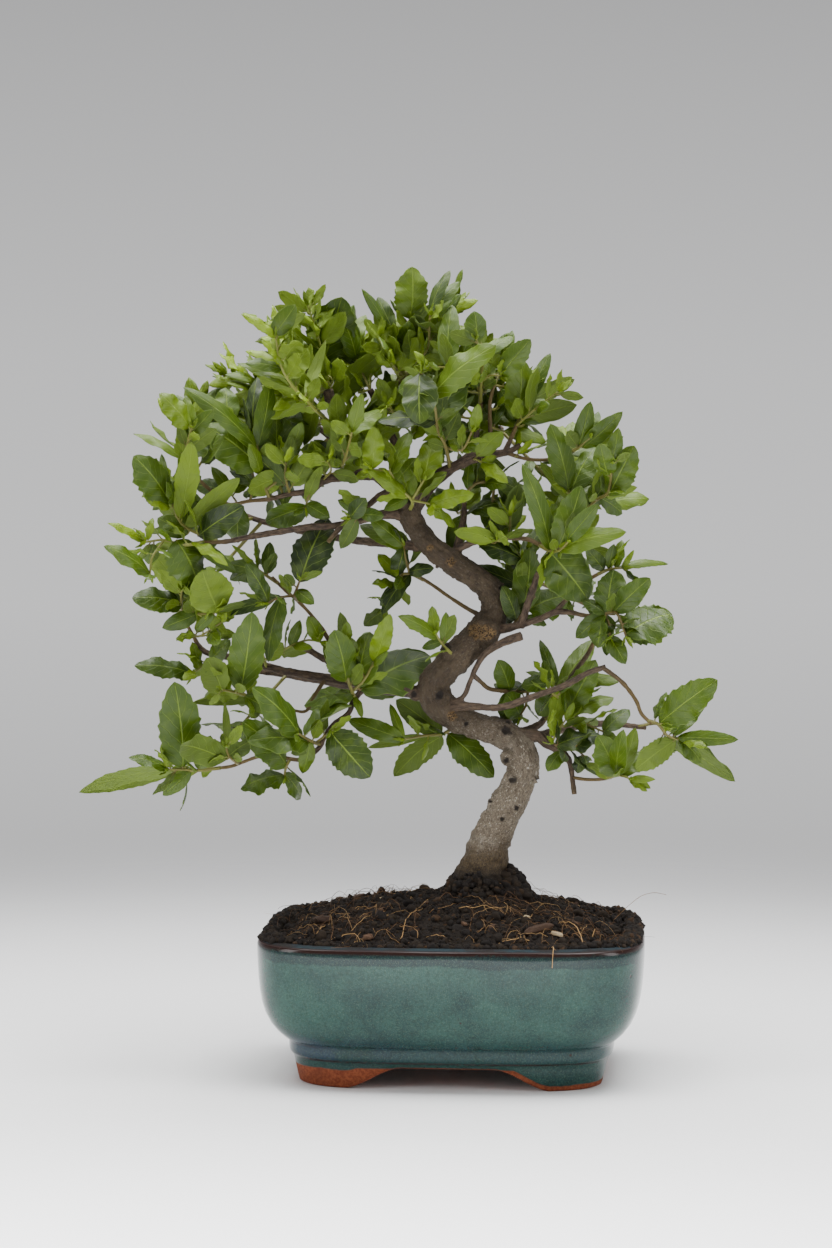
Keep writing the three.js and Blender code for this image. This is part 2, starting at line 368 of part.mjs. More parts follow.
// Every shoot that faces the viewer: its name, the lines of its stem from the wood outward as
// x, z, y, and its leaves as base x, z, tip x, z, the width seen and a tone from 0, old and dark,
// to 9, young and yellow. u shows its underside and t is strongly toothed.
const SHOOTS = [
  ["crown_tip_left",
    [[[-57, 321, 0], [-66, 328, -3], [-73, 335, -6], [-80, 342, -8], [-86, 352, -9], [-89, 367, -10]]],
    [[-89, 367, -106, 378.5, 4.5, 8], [-90, 369, -94, 375, 2.5, 8], [-90, 368, -79, 383, 10, 5],
      [-88, 368, -74, 379, 6, 6, "u"], [-85, 356, -77, 365, 10, 7, "u"],
      [-84, 347, -73, 361.5, 12, 7, "u"],
      [-87, 354, -104, 360, 4, 8], [-85, 353, -93, 361, 2.5, 7], [-86, 351, -104, 354, 6, 4],
      [-88, 356, -89, 369, 5, 8], [-80, 342, -108, 354, 6, 6], [-74, 338, -64, 365, 6, 6, "u"]]],
  ["crown_left_big",
    [[[-61, 330, -1], [-62, 340, 5], [-66, 351, 8]], [[-62, 340, 5], [-55, 350, 6], [-46, 357, 7]]],
    [[-66, 352, -56, 387, 25, 4, "t"], [-56, 352, -44, 378, 10, 6], [-46, 357, -40, 371, 7, 7],
      [-66, 342, -56, 352, 5, 5], [-63, 334, -32, 362, 12, 6, "u"], [-60, 340, -52, 349, 6, 5],
      [-66, 350, -78, 368, 11, 4], [-48, 356, -36, 362, 8, 5]]],
  ["crown_top",
    [[[-26, 344, 4], [-27, 350, 4], [-30, 362, 2], [-33, 369, 0]], [[-27, 350, 4], [-24, 362, 6],
    [-22, 376, 6]],
      [[-27, 350, 4], [-14, 360, 0], [-12, 378, -2]]],
    [[-33, 370, -46, 391, 4.5, 4], [-30, 370, -38, 387, 8, 2], [-22, 376, -21, 402, 17, 6, "t"],
      [-30, 362, -28, 377, 7, 9], [-25, 368, -5, 369, 15, 4, "u"], [-12, 379, -2, 400, 6, 2],
      [-12, 379, 3, 394.5, 7, 4], [-11, 376, -1, 385, 4, 5], [-16, 357, -17.5, 373, 3.5, 8],
      [-29, 358, -40, 368, 9, 4]]],
  ["crown_top_right",
    [[[13, 334, 0], [13.5, 345, -1], [14, 356, 1], [11, 366, 2]],
      [[13.5, 345, -1], [5, 350, -3], [-3, 352, -4], [-12, 352, -5]], [[13.5, 345, -1], [18, 348, -5],
      [23, 348, -7]]],
    [[-13, 351, -20, 360, 4, 9], [-3, 352, -1, 383, 11, 4], [11, 365, 10, 380, 11, 5],
      [14, 358, 30, 367, 6, 5], [23, 348, 38, 366, 12, 5, "t"], [12, 342, 6, 353, 8, 4],
      [18, 346, 17, 357, 6, 6], [3, 350, 7, 366, 8, 5]]],
  ["crown_right_front",
    [[[29, 318, -4], [33, 328, -6], [37, 336, -7]]],
    [[32, 326, 33.5, 356, 16, 6, "t"], [37, 335, 60, 346, 9, 5, "ut"], [33, 325, 51, 327, 5, 4],
      [36, 334, 48, 359, 8, 4]]],
  ["crown_centre",
    [[[-2, 301, -4], [-4, 312, -9], [-8, 321, -11], [-10, 334, -12], [-16, 349, -12]],
      [[-4, 312, -9], [4, 311, -11], [9, 320, -11]]],
    [[-17, 349, -17, 324, 18, 2], [-9, 322, 7, 351, 14, 3], [-9, 325, -38, 325, 9, 1],
      [-6, 320, 10, 338, 5, 2, "u"], [10, 321, 12, 334, 6, 7], [4, 310, 12, 317, 7, 5],
      [2, 310, -2, 318, 5, 6], [-11, 338, 21, 363, 14, 6, "t"], [-14, 346, -28, 340, 10, 4]]],
  ["left_upper",
    [[[-92, 286.5, -8], [-94, 291, -9], [-97, 300, -10], [-98, 311, -12], [-100, 319, -13]],
      [[-94, 291, -9], [-86, 298, -8], [-82, 311, -7]], [[-98, 311, -12], [-106, 318, -15],
      [-113, 325, -16]]],
    [[-98, 311, -135, 342, 9, 4], [-85, 299, -90, 329, 21, 4, "t"], [-98, 312, -92, 346, 10, 4],
      [-82, 311, -80, 341, 12, 5, "t"], [-82, 309, -76, 325, 8, 6], [-100, 318, -98, 347, 9, 1],
      [-113, 325, -114, 342, 13, 5], [-97, 302, -124, 323, 20, 4], [-86, 298, -103, 290, 12, 6, "u"]]],
  ["left_outer_up",
    [[[-132, 301, -14.5], [-135, 306, -17], [-133, 314, -18], [-131, 322, -19]]],
    [[-132, 322, -147, 339, 11, 7], [-130, 321, -134, 338, 6, 6], [-135, 306, -160, 319, 4.5, 6],
      [-133, 308, -122, 315, 9, 3], [-132, 318, -120, 331, 8, 5]]],
  ["left_outer_mid",
    [[[-118, 265.1, -16.6], [-133, 271.6, -21.4], [-138, 277, -24], [-141, 285, -26]]],
    [[-142, 284, -160, 308, 17, 4, "t"], [-142, 286, -146, 309, 5, 5], [-140, 284, -139, 296, 6, 3],
      [-139, 283, -135, 303, 6, 6, "u"], [-142, 282, -155.5, 288, 6, 9], [-133, 269, -148, 277, 11, 5],
      [-134, 272, -132, 291, 8, 5], [-134, 272, -107, 297, 10, 6, "u"], [-128, 268, -105, 283, 14, 1],
      [-137, 277, -131, 315, 12, 7, "u"]]],
  ["left_small",
    [[[-125, 265, -17.8], [-135, 263.5, -18], [-145, 266, -18], [-154, 265, -19]],
      [[-145, 266, -18], [-151, 257, -22], [-152, 249, -24]]],
    [[-155, 265, -173, 274.5, 4, 8], [-153, 266, -150.5, 277, 4, 7], [-154, 265, -158, 271, 3, 8],
      [-150, 264, -153, 254, 8, 4], [-152, 249, -175, 263, 8, 5], [-139, 266, -128, 243, 20, 4, "t"],
      [-130, 265, -109, 249.5, 7, 4], [-131, 265, -113, 253, 5, 8]]],
  ["left_mid",
    [[[-135, 226, 0.5], [-136, 231, -2], [-136.5, 235, -4], [-136, 241, -7]], [[-136, 231, -2],
    [-128, 229, -8], [-119, 230, -10]]],
    [[-136, 234, -161, 237, 12, 3], [-137, 240, -151, 260, 11, 7, "u"],
    [-118, 230, -126, 251, 22, 6, "u"],
      [-120, 229, -129, 221, 5, 5], [-136, 238, -124, 252, 9, 4], [-128, 229, -146, 222, 9, 4]]],
  ["left_inner_tip",
    [[[-88, 244.5, -5.2], [-95, 249, -9], [-100, 253, -11]]],
    [[-100, 252, -111, 263.5, 3, 7], [-93, 250, -92, 265, 7, 3], [-94, 249, -89, 259.5, 6, 3, "u"],
      [-98, 253, -99, 267, 2.5, 7], [-97, 251, -112, 246, 8, 3]]],
  ["left_inner",
    [[[-78, 235.5, -2], [-80, 238, -7], [-88, 237, -10], [-93, 234.5, -11]], [[-80, 238, -7],
    [-77, 246, -9]]],
    [[-93, 235, -104, 254, 9, 2], [-90, 236, -117, 229, 7, 2], [-86, 238, -93, 205, 10, 3],
      [-77, 245, -63, 277, 19, 1, "t"], [-79, 241, -70, 234, 7, 5]]],
  ["left_sprigs",
    [[[-94, 202.5, 7], [-96, 210, 1]], [[-95, 206, 4], [-88, 209, 0], [-82, 213, -1], [-73, 216, -3],
      [-67, 215, -5]]],
    [[-96, 209, -99, 223, 4.5, 7], [-96, 209, -92, 219, 3.5, 7], [-82, 213, -77, 226, 6, 5],
      [-67, 215, -73, 228, 8, 6]]],
  ["left_low_a",
    [[[-95, 183.7, -1.6], [-107, 189, -6], [-116, 191, -9]]],
    [[-107, 190, -101, 230, 18, 5, "t"], [-116, 190, -124, 207, 15, 5, "u"],
    [-99, 186, -131, 184.5, 5, 5, "u"],
      [-113, 191, -115, 199, 5, 6], [-105, 188, -90, 179, 9, 4]]],
  ["left_low_tip",
    [[[-118, 208, 4], [-126, 203, -1], [-131, 199, -4]]],
    [[-131, 199, -160, 203, 10, 4, "t"], [-130, 198, -143, 205, 5, 8], [-128, 201, -131, 215, 6, 7],
      [-122, 205, -112, 216, 9, 5]]],
  ["left_bottom",
    [[[-117, 151.8, -17.6], [-128, 150.5, -21], [-136, 151, -23], [-143, 151, -24]]],
    [[-136, 152, -140, 195, 21, 4, "t"], [-142, 152, -147, 163, 5, 7, "u"],
    [-143, 151, -163, 157, 6, 5, "t"],
      [-140, 150, -188, 139.5, 8, 5, "ut"], [-128, 151, -122, 168, 10, 4], [-132, 150, -146, 138, 8, 5]]],
  ["left_bottom_in",
    [[[-108, 153.8, -16.5], [-113, 158, -21], [-114, 162, -22]]],
    [[-114, 156, -137, 163, 15, 4, "u"], [-114, 160, -115, 185, 4, 5, "u"],
    [-114, 157, -100, 166, 9, 3, "u"]]],
  ["left_bottom_mid",
    [[[-82, 156.6, -13.7], [-84, 153, -18], [-85, 148, -20]]],
    [[-84, 153, -106, 175, 16, 5, "t"], [-84, 152, -97, 157, 5, 5], [-85, 148, -107, 141, 12, 5, "t"],
      [-85, 149, -77, 136, 8, 4]]],
  ["left_low_fold",
    [[[-67, 163.5, -12.8], [-71, 165, -17], [-78, 169, -20]], [[-69, 164.5, -15], [-62, 170, -18]]],
    [[-73, 165, -103, 165, 13, 4], [-72, 165, -76, 149, 8, 6], [-62, 170, -42, 147, 20, 2, "t"],
      [-75, 168, -51, 183, 14, 5], [-78, 169, -101, 192, 14, 4]]],
  ["centre_left",
    [[[-49.5, 187, -3.6], [-51, 190, -10], [-53, 196, -13], [-54, 204, -14], [-54, 213, -13]],
      [[-51, 190, -10], [-45, 196, -13], [-40, 205, -13]]],
    [[-54, 195, -60, 221, 16, 4, "t"], [-48, 192, -42, 220, 16, 5], [-50, 189, -75, 183, 13, 5],
      [-47, 191, -12, 208, 23, 3], [-40, 205, -32, 229, 10, 7], [-54, 213, -57, 230, 6, 4, "u"],
      [-54, 205, -51, 217, 10, 6], [-50, 188, -46, 177, 4, 6]]],
  ["behind_trunk_low",
    [[[1, 174, 8], [-5, 169, 14], [-15, 168, 17], [-25, 166, 18]]],
    [[-6, 169, -29, 186, 14, 4, "u"], [-25, 166, -32, 184, 5, 6], [-15, 168, -43, 162, 5, 5, "u"],
      [-6, 168, -30, 147.5, 13, 4, "ut"], [-3, 169, 20, 147, 15, 3, "t"], [-25, 166, -53, 176, 10, 5]]],
  ["trunk_mid_left",
    [[[-15, 246, 8.3], [-22, 249, 6], [-28, 247, 3], [-34, 232, 1]], [[-22, 249, 6], [-24, 256, 4],
    [-25, 263, 2]]],
    [[-22, 249, -36, 229, 8, 1], [-34, 231, -45, 223, 8, 3, "u"], [-29, 245, -37, 233, 4, 2],
      [-28, 248, -38, 259, 7, 8], [-29, 244, -41, 244, 5, 7], [-25, 262, -30, 247, 9, 2],
      [-25, 262, -47, 273.5, 9, 6], [-25, 263, -42, 277, 9, 5], [-23, 250, -10, 252, 7, 1]]],
  ["trunk_small_left",
    [[[0, 208, -7], [-6, 214, -12], [-9, 219, -13]]],
    [[-8, 217, -28, 228, 7, 6, "t"], [-9, 219, -11, 233, 6, 7], [-5, 214, -4, 230, 6, 6],
      [-6, 215, -16, 212, 5, 4]]],
  ["mid_right_a",
    [[[43, 263.2, -11.6], [48, 260.5, -15], [53, 261, -17], [57, 265, -18]]],
    [[48, 261, 34, 304, 10, 5], [50, 262, 49, 284, 10, 4], [52, 262, 63.5, 293, 15, 4, "t"],
      [53, 262, 60, 274, 5, 8], [56, 265, 72, 284, 9, 4], [48, 261, 44, 270, 4, 8],
      [47, 261, 67, 236, 23, 3], [53, 261, 86, 270, 10, 6]]],
  ["mid_right_b",
    [[[29, 222.6, -2.4], [33, 228, 4], [37, 231, 6]], [[33, 228, 4], [34, 241, -4], [34, 257, -14]]],
    [[34, 256, 12, 264, 10, 1], [34, 243, 10, 253, 9, 2], [34, 229, 38, 262, 15, 5],
      [37, 231, 56, 238, 17, 4], [31, 226, 24, 243, 9, 2], [34, 252, 42, 259, 5, 1],
      [34, 256, 44, 272, 9, 4]]],
  ["right_up",
    [[[57, 309.5, -10.6], [62, 312, -14], [68, 317, -16]]],
    [[62, 312, 68, 335, 9, 4], [68, 316, 72, 330, 6, 5], [64, 312, 84, 330, 9, 4],
    [67, 315, 80, 314, 7, 6]]],
  ["right_up_inner",
    [[[61, 275, -7], [60, 284, -10], [57, 291, -11]]],
    [[57, 291, 48, 324, 13, 5, "t"], [58.6, 290, 70.4, 312, 13, 5], [59, 285, 43, 305, 5.5, 5, "u"],
      [60, 283, 71, 293, 8, 4]]],
  ["right_up_outer",
    [[[64.5, 279, -6.3], [71, 286, -9], [77, 290, -10], [79, 304, -11]]],
    [[77, 288, 90, 313, 16, 5, "t"], [77, 298, 73, 314, 11, 5], [68, 283, 78, 299, 11, 4],
      [73, 287, 84, 279, 8, 3], [78, 302, 82, 322, 8, 5]]],
  ["centre_leaflets",
    [[[5, 284, 4.7], [8, 292, 0], [14, 295, -2], [22, 293, -3], [31, 290, -4], [40, 285, -5]],
      [[20, 293, -3], [19, 282, -1], [18, 274, 0]]],
    [[38, 286, 21, 296, 10, 5], [9, 292, 21, 299, 6, 2], [22, 292, 36, 283, 8, 4],
    [40, 284, 50, 285, 6, 2],
      [17, 294, 18, 303, 4, 7], [7, 291, 8, 305, 6, 4], [12, 295, 14, 307, 6, 4, "u"],
      [18, 274, 29, 279, 11, 1]]],
  ["crown_front",
    [[[-22, 281, -2], [-21, 286, -11], [-29, 293, -12], [-32, 300, -12], [-41, 301, -12]],
      [[-21, 286, -11], [-15, 296, -12]], [[-21, 286, -11], [-12, 284, -12]]],
    [[-41, 301, -40, 322.5, 11, 7], [-31, 299, -22, 320, 9, 6], [-30, 294, -19, 307, 9, 6],
      [-15, 296, -9, 318, 13, 7], [-23, 287, -43, 301, 7, 7], [-22, 287, -25, 303, 8, 6],
      [-19, 288, -17, 305, 8, 5], [-23, 287, -35, 281, 6, 5], [-12, 284, 10, 289, 9, 7],
      [-14, 284, 1, 272, 5, 7]]],
  ["crown_front_left",
    [[[-56, 297, 0], [-56, 302, -6], [-53, 311, -8], [-51, 320, -9]]],
    [[-51, 320, -46, 339, 7, 6], [-51, 319, -36, 331, 8, 6], [-55, 304, -47, 319, 8, 6],
      [-56, 301, -44, 305, 6, 6, "u"], [-56, 303, -76, 310, 6, 6, "u"], [-56, 302, -70, 316, 9, 0]]],
  ["crown_left_drop",
    [[[-71, 292, -3.5], [-73, 287, -9], [-74, 283, -10]]],
    [[-74, 285, -66, 303, 6, 5, "u"], [-73, 283, -94, 275, 14, 4], [-74, 284, -62, 277, 8, 4]]],
  ["diagonal_leaves",
    [[[-43, 283, -8], [-46, 279, -13], [-52, 277, -14]]],
    [[-52, 277, -44, 287, 9, 2], [-46, 280, -58, 286, 6, 5], [-47, 279, -35, 278, 7, 4]]],
  ["right_mid_outer",
    [[[72, 249, -10.7], [78, 251.5, -14], [84, 252, -15]]],
    [[77, 252, 80, 264, 6, 3], [81, 252, 84, 266, 6, 6], [84, 252, 90, 261, 3, 7],
    [82, 252, 107, 254, 4, 6, "t"],
      [78, 251, 86, 238, 8, 4], [75, 251, 66, 262, 8, 2]]],
  ["right_mid_low",
    [[[69, 228.1, -10.4], [76, 229, -14], [81, 230, -15], [84, 224, -16], [86, 218, -16]],
      [[76, 229, -14], [78, 222, -15], [78, 217, -15]]],
    [[80, 230, 98, 247, 12, 4], [77, 229, 80, 251, 16, 3, "t"], [76, 229, 72, 212, 13, 3],
      [86, 219, 109, 229, 20, 3, "t"], [78, 218, 86, 204, 9, 3], [74, 229, 61, 217, 9, 3],
      [76, 229, 64, 236, 6, 3]]],
  ["right_inner",
    [[[45, 176, 8], [52, 178, 1], [58, 179, -1], [66, 174, -3], [75, 170, -4]]],
    [[57, 180, 71, 206, 14, 5, "t"], [58, 179, 80, 187, 8, 6], [70, 172, 60, 163, 9, 5],
    [75, 170, 88, 181, 9, 4],
      [75, 170, 84, 158, 8, 3]]],
  ["right_inner_up",
    [[[54, 190.5, 9.6], [51, 193.5, 15], [46, 196, 17]]],
    [[53, 192, 70, 216, 11, 6], [47, 195, 45, 206, 5, 5], [50, 194, 36, 200, 4, 6],
    [52, 193, 43, 216, 6, 4]]],
  ["right_inner_low",
    [[[24, 190.4, 2.3], [30, 190, 15], [37, 190, 23], [45, 191, 31], [50, 189.5, 32]],
      [[37, 190, 23], [36, 183, 24], [33, 178, 24]]],
    [[28, 190, 22, 206, 11, 5], [27, 190, 27, 174, 11, 5], [36, 190, 20, 194, 8, 1],
    [37, 191, 46, 200, 8, 2],
      [33, 178, 26, 189, 12, 4], [50, 189, 42, 178, 12, 3]]],
  ["right_far",
    [[[97, 175.5, -27.6], [102, 174, -31], [107, 168, -33], [113, 166, -34]]],
    [[103, 174, 132, 196, 17, 5, "t"], [110, 168, 127, 187, 8, 4], [112, 167, 142.5, 166, 8, 5],
      [108, 167, 141, 145, 9, 4, "u"], [111, 166, 91, 151, 12, 5, "ut"], [113, 166, 124, 154, 8, 4]]],
  ["right_low",
    [[[76, 146.6, -16], [83, 148, -20], [88, 146.5, -22]]],
    [[81, 148, 72, 168, 14, 5, "t"], [82, 148, 85, 171, 9, 5], [83, 148, 91, 172, 9, 6],
    [84, 148, 94, 160, 11, 6],
      [88, 146, 101, 146, 4, 7], [88, 146, 97, 140, 4, 7], [79, 147, 65, 154, 6, 6, "u"]]],
  ["right_low_in",
    [[[54, 159.3, -8], [54, 161, -13], [50, 164, -16]], [[54, 161, -13], [60, 162, -17], [65, 158, -18]]],
    [[54, 160, 47, 150, 8, 4], [51, 163, 74, 168, 12, 1], [64, 158, 62, 149, 7, 0]]],
];

// Shoots on the far side, where the bonsai's back is as full as its front: each one's name, the
// shoot that it lies behind, how much deeper, and where it leaves the wood
const FAR_SHOOTS = [
  ["far_crown_tip", "crown_tip_left", 48, [-69, 322.5, 53]],
  ["far_crown_big", "crown_left_big", 52, [-60, 315, 46]],
  ["far_crown_top", "crown_top", 40, [-44, 301.5, 31.5]],
  ["far_crown_right", "crown_top_right", 42, [14, 313.5, 41]],
  ["far_crown_centre", "crown_centre", 32, [-2, 300.5, 26]],
  ["far_right_up", "right_up_inner", 49, [23, 321, 47]],
  ["far_left_upper", "left_upper", 52, [-62, 317, 48]],
  ["far_left_outer", "left_outer_mid", 40, [-100, 276.8, 52.8]],
  ["far_left_mid", "left_mid", 54, [-96, 275, 51]],
  ["far_left_low", "left_low_a", 50, [-101, 200, 56.6]],
  ["far_left_bottom", "left_bottom", 40, [-84, 198.3, 52.4]],
  ["far_centre_left", "centre_left", 36, [-50, 192.5, 36]],
  ["far_mid_right", "mid_right_a", 40, [52, 256, 42]],
  ["far_right_low", "right_mid_low", 42, [40, 246, 30]],
  ["far_right_far", "right_far", 32, [92, 172.5, 50]],
];
const FAR_LEAVES = 4;
// The smallest leaf that is modelled here: its seen length times its width
const SMALLEST = 105;

// How far a leaf's tip leans away, as a share of its length, and how far it rolls about its
// midrib, in turn along the shoot
const TIP_LEANS = [-0.45, 0.32, -0.15, 0.55, -0.6, 0.1, 0.42, -0.28];
const ROLLS = [12, -18, 24, -8, 16, -26, 6, -14];
const SKYWARD = 30;
// How far each shoot in turn grows away from the viewer, for each mm that it is seen to grow
const SWAYS = [-0.8, 0.35, -0.45, -1.1, 0.6, -0.65, 0.1];
const SWAY_REACH = 40;
// What a leaf that would touch a neighbour tries in turn: more lean in mm, and more roll in degrees
const BENDS = [
  [0, 0], [-6, 0], [6, 0], [0, 20], [0, -20], [-12, 10], [12, -10], [-18, 0], [18, 0],
  [-9, 35], [9, -35], [-26, 15], [26, -15], [-34, 0], [34, 0],
];

// A leaf's half outline: places along it and half widths, as shares of its length and half width
const LARGE_LEAF = [[0.16, 0.7], [0.4, 1], [0.68, 0.74]];
const TOOTHED_LEAF = [[0.3, 1], [0.46, 0.74], [0.66, 0.82]];
const MEDIUM_LEAF = [[0.26, 0.9], [0.6, 0.84]];
const SMALL_LEAF = [[0.4, 1]];
const MIDRIB = 0.44;
const ARCH = 0.09;
const FOLD = 0.2;
const WAVE = 0.16;

function leafOutline(width, marks) {
  if (width < 6) return SMALL_LEAF;
  if (width < 13) return MEDIUM_LEAF;
  return marks.includes("t") ? TOOTHED_LEAF : LARGE_LEAF;
}

const leafSize = ([bx, bz, tx, tz, width]) => Math.hypot(tx - bx, tz - bz) * width;

// A leaf's place in space: its base, its tip, the way across it and its upper side
function leafFrame({ leaf, index, spot: [sx, sz, baseDepth] }, [lean, roll]) {
  const [bx, bz, tx, tz, seenWidth, , marks = ""] = leaf;
  const spot = seen([sx, sz, baseDepth]);
  const flat = Math.hypot(tx - bx, tz - bz);
  const turn = index % TIP_LEANS.length;
  const base = seen([bx, bz, baseDepth]);
  const tip = seen([tx, tz, baseDepth + flat * TIP_LEANS[turn] + lean]);
  const along = tip.clone().sub(base).normalize();
  const toEye = eyePoint.clone().sub(base).normalize();
  const across = along.clone().cross(toEye).normalize();
  const under = marks.includes("u") ? -1 : 1;
  const angle = THREE.MathUtils.degToRad(ROLLS[turn] + roll + under * SKYWARD * across.z);
  const face = across.clone().cross(along).applyAxisAngle(along, angle);
  across.applyAxisAngle(along, angle);
  const upper = face.multiplyScalar(under);
  const width = seenWidth / Math.max(0.7, Math.cos(angle));
  return { spot, base, tip, along, across, upper, width, length: tip.distanceTo(base), marks };
}

// Splits a leaf's ring into cross strips, from its root (one point, or two) to its tip
function zigzag(ring, twoRooted) {
  let [left, right] = twoRooted ? [0, ring.length - 1] : [1, ring.length - 1];
  const faces = twoRooted ? [] : [[ring[0], ring[left], ring[right]]];
  while (right - left > 2) {
    faces.push([ring[left], ring[left + 1], ring[right]]);
    faces.push([ring[left + 1], ring[right - 1], ring[right]]);
    left++;
    right--;
  }
  faces.push([ring[left], ring[left + 1], ring[right]]);
  return faces;
}

// A thin arched blade on its petiole. Both faces are split into the same triangles, round one
// point of the midrib on a broad leaf.
function blade(frame) {
  const { spot, base, tip, along, across, upper, width, length, marks } = frame;
  const half = leafOutline(width, marks);
  const at = (u, v, lift) => {
    const arch = ARCH * length * 4 * u * (1 - u);
    return base
      .clone()
      .addScaledVector(along, u * length)
      .addScaledVector(across, v)
      .addScaledVector(upper, arch + lift);
  };
  const side = (sign) =>
    half.map(([u, v], i) => {
      const reach = (v * width) / 2;
      const wave = (i % 2 === (sign > 0 ? 0 : 1) ? WAVE : -WAVE) * reach;
      return at(u, sign * reach, -FOLD * reach + wave);
    });
  const stalk = spot.distanceTo(base) > 1.2 ? [at(0, -PETIOLE, 0), at(0, PETIOLE, 0)] : [];
  const rim = [spot, ...stalk, ...side(-1), tip, ...side(1).reverse()];
  const leafStart = 1 + stalk.length;
  const leafRim = rim.map((_, i) => i).slice(leafStart);
  const edge = stalk.length ? [0, 1, ...leafRim, 2] : [0, ...leafRim];
  const ring = stalk.length ? [1, ...leafRim, 2] : edge;
  const faces = stalk.length ? [[0, 1, 2]] : [];
  if (half.length > 2) {
    rim.push(at(MIDRIB, 0, 0));
    const middle = rim.length - 1;
    ring.forEach((a, i) => faces.push([middle, a, ring[(i + 1) % ring.length]]));
  } else faces.push(...zigzag(ring, stalk.length > 0));
  const total = rim.length;
  const shift = upper.clone().multiplyScalar(BLADE / 2);
  const points = [...rim.map((p) => p.clone().add(shift)), ...rim.map((p) => p.clone().sub(shift))];
  const under = faces.map(([a, b, c]) => [a + total, c + total, b + total]);
  const walls = edge.flatMap((a, i) => {
    const b = edge[(i + 1) % edge.length];
    return [[a, a + total, b + total], [a, b + total, b]];
  });
  const all = [...faces, ...under, ...walls];
  const solid = solidFrom(points, all);
  return solid.volume() > 0 ? solid : solidFrom(points, all.map(([a, b, c]) => [a, c, b]));
}

const SUNK = 0.07;

// The nearest place on a shoot's stem to where a leaf begins in the view
function nearestOnStem(stems, [x, z]) {
  let best = null;
  for (const line of stems)
    for (let i = 0; i + 1 < line.length; i++) {
      const [a, b] = [line[i], line[i + 1]];
      const run = [b[0] - a[0], b[1] - a[1]];
      const size = run[0] ** 2 + run[1] ** 2;
      const raw = ((x - a[0]) * run[0] + (z - a[1]) * run[1]) / size;
      const t = Math.min(1 - SUNK, Math.max(SUNK, raw));
      const spot = a.map((v, k) => v + (b[k] - v) * t);
      const gap = Math.hypot(x - spot[0], z - spot[1]);
      if (!best || gap < best.gap) best = { spot, gap };
    }
  return best;
}

function stemTube(line, rootRadius = 1.4) {
  const last = line.length - 1;
  const radii = line.map((_, i) => (i ? 1.4 - (0.3 * i) / last : rootRadius));
  return tube(line.map(seen), radii, 3);
}

// A shoot's main stem, begun just outside the wood that carries it
function seatedStem([root, second, ...rest], wood) {
  const from = (t) => stemTube([root.map((v, k) => v + (second[k] - v) * t), second, ...rest]);
  let [low, high] = [0, 0.98];
  for (let step = 0; step < 10; step++) {
    const t = (low + high) / 2;
    if (from(t).minGap(wood, GAP) < GAP) low = t;
    else high = t;
  }
  return from(high);
}

// A shoot's stem lines, turned towards the viewer or away as they grow
function swayed(stems, sway) {
  const [rootX, rootZ] = stems[0][0];
  const depth = ([x, z, y]) => y + sway * Math.min(Math.hypot(x - rootX, z - rootZ), SWAY_REACH);
  return stems.map((line) => line.map((p) => [p[0], p[1], depth(p)]));
}

// A shoot's stem lines as solids, and its leaves with the place where each leaves the stem
function shootFrame([name, straight, leaves], order, wood) {
  const stems = swayed(straight, SWAYS[order % SWAYS.length]);
  const [main, ...others] = stems;
  const solids = [seatedStem(main, wood), ...others.map((line) => stemTube(line, 0.6))];
  const placed = leaves
    .map((leaf, index) => ({ leaf, index, spot: nearestOnStem(stems, leaf).spot }))
    .filter(({ leaf }) => leafSize(leaf) > SMALLEST);
  return { name, solids, placed };
}

// A far shoot repeats part of the one in front of it, deeper and leaning the other way
function farShoot([name, source, deeper, root]) {
  const [, stems, leaves] = SHOOTS.find((shoot) => shoot[0] === source);
  const moved = stems.map((line) => line.map(([x, z, y]) => [x, z, deeper - y]));
  const [main, ...others] = moved;
  const order = [...leaves].sort((a, b) => b[4] - a[4]).slice(0, FAR_LEAVES);
  return [name, [[root, ...main.slice(1)], ...others], order];
}

function boxesMeet(a, b) {
  const [p, q] = [a.boundingBox(), b.boundingBox()];
  return [0, 1, 2].every((k) => p.min[k] < q.max[k] + GAP && q.min[k] < p.max[k] + GAP);
}

const touches = (a, b) => boxesMeet(a, b) && a.minGap(b, GAP) < GAP;
const shareIn = (a, b) => (boxesMeet(a, b) ? a.intersect(b).volume() / a.volume() : 0);

// All shoots, with every leaf bent clear of the wood, of the other shoots and, where it can be,
// of its own shoot's other leaves
function growShoots(wood, fatWood, pot) {
  const shoots = [...SHOOTS, ...FAR_SHOOTS.map(farShoot)].map((s, i) => shootFrame(s, i, wood));
  const trim = (solid) => (shareIn(solid, fatWood) > 0 ? solid.subtract(fatWood) : solid);
  const stems = shoots.map((shoot) => trim(unionOf(shoot.solids)));
  const blades = shoots.map(() => []);
  const woodShare = 0.03;
  const fits = (solid, s, strict) => {
    if (shareIn(solid, fatWood) > (strict ? 0 : woodShare) || shareIn(solid, pot) > 0) return false;
    const meets = (other, o) => o !== s && [other].flat().some((one) => touches(solid, one));
    if (stems.some(meets) || blades.some(meets)) return false;
    return !strict || blades[s].every((one) => shareIn(solid, one) === 0);
  };
  return shoots.map((shoot, s) => {
    shoot.placed.forEach((place) => {
      const bent = BENDS.map((bend) => blade(leafFrame(place, bend)));
      const best = bent.find((b) => fits(b, s, true)) || bent.find((b) => fits(b, s, false));
      if (best) blades[s].push(best);
    });
    const whole = unionOf([stems[s], ...blades[s].map(trim)]);
    return { name: shoot.name, solid: tidy(whole, shoot.name) };
  });
}

// The scene graph

const bonsai = new THREE.Group();
bonsai.name = "bonsai";

function addPiece(name, solid, color, roughness) {
  const material = new THREE.MeshStandardMaterial({ color, roughness, metalness: 0 });
  const mesh = new THREE.Mesh(geometryOf(solid), material);
  mesh.name = name;
  bonsai.add(mesh);
}

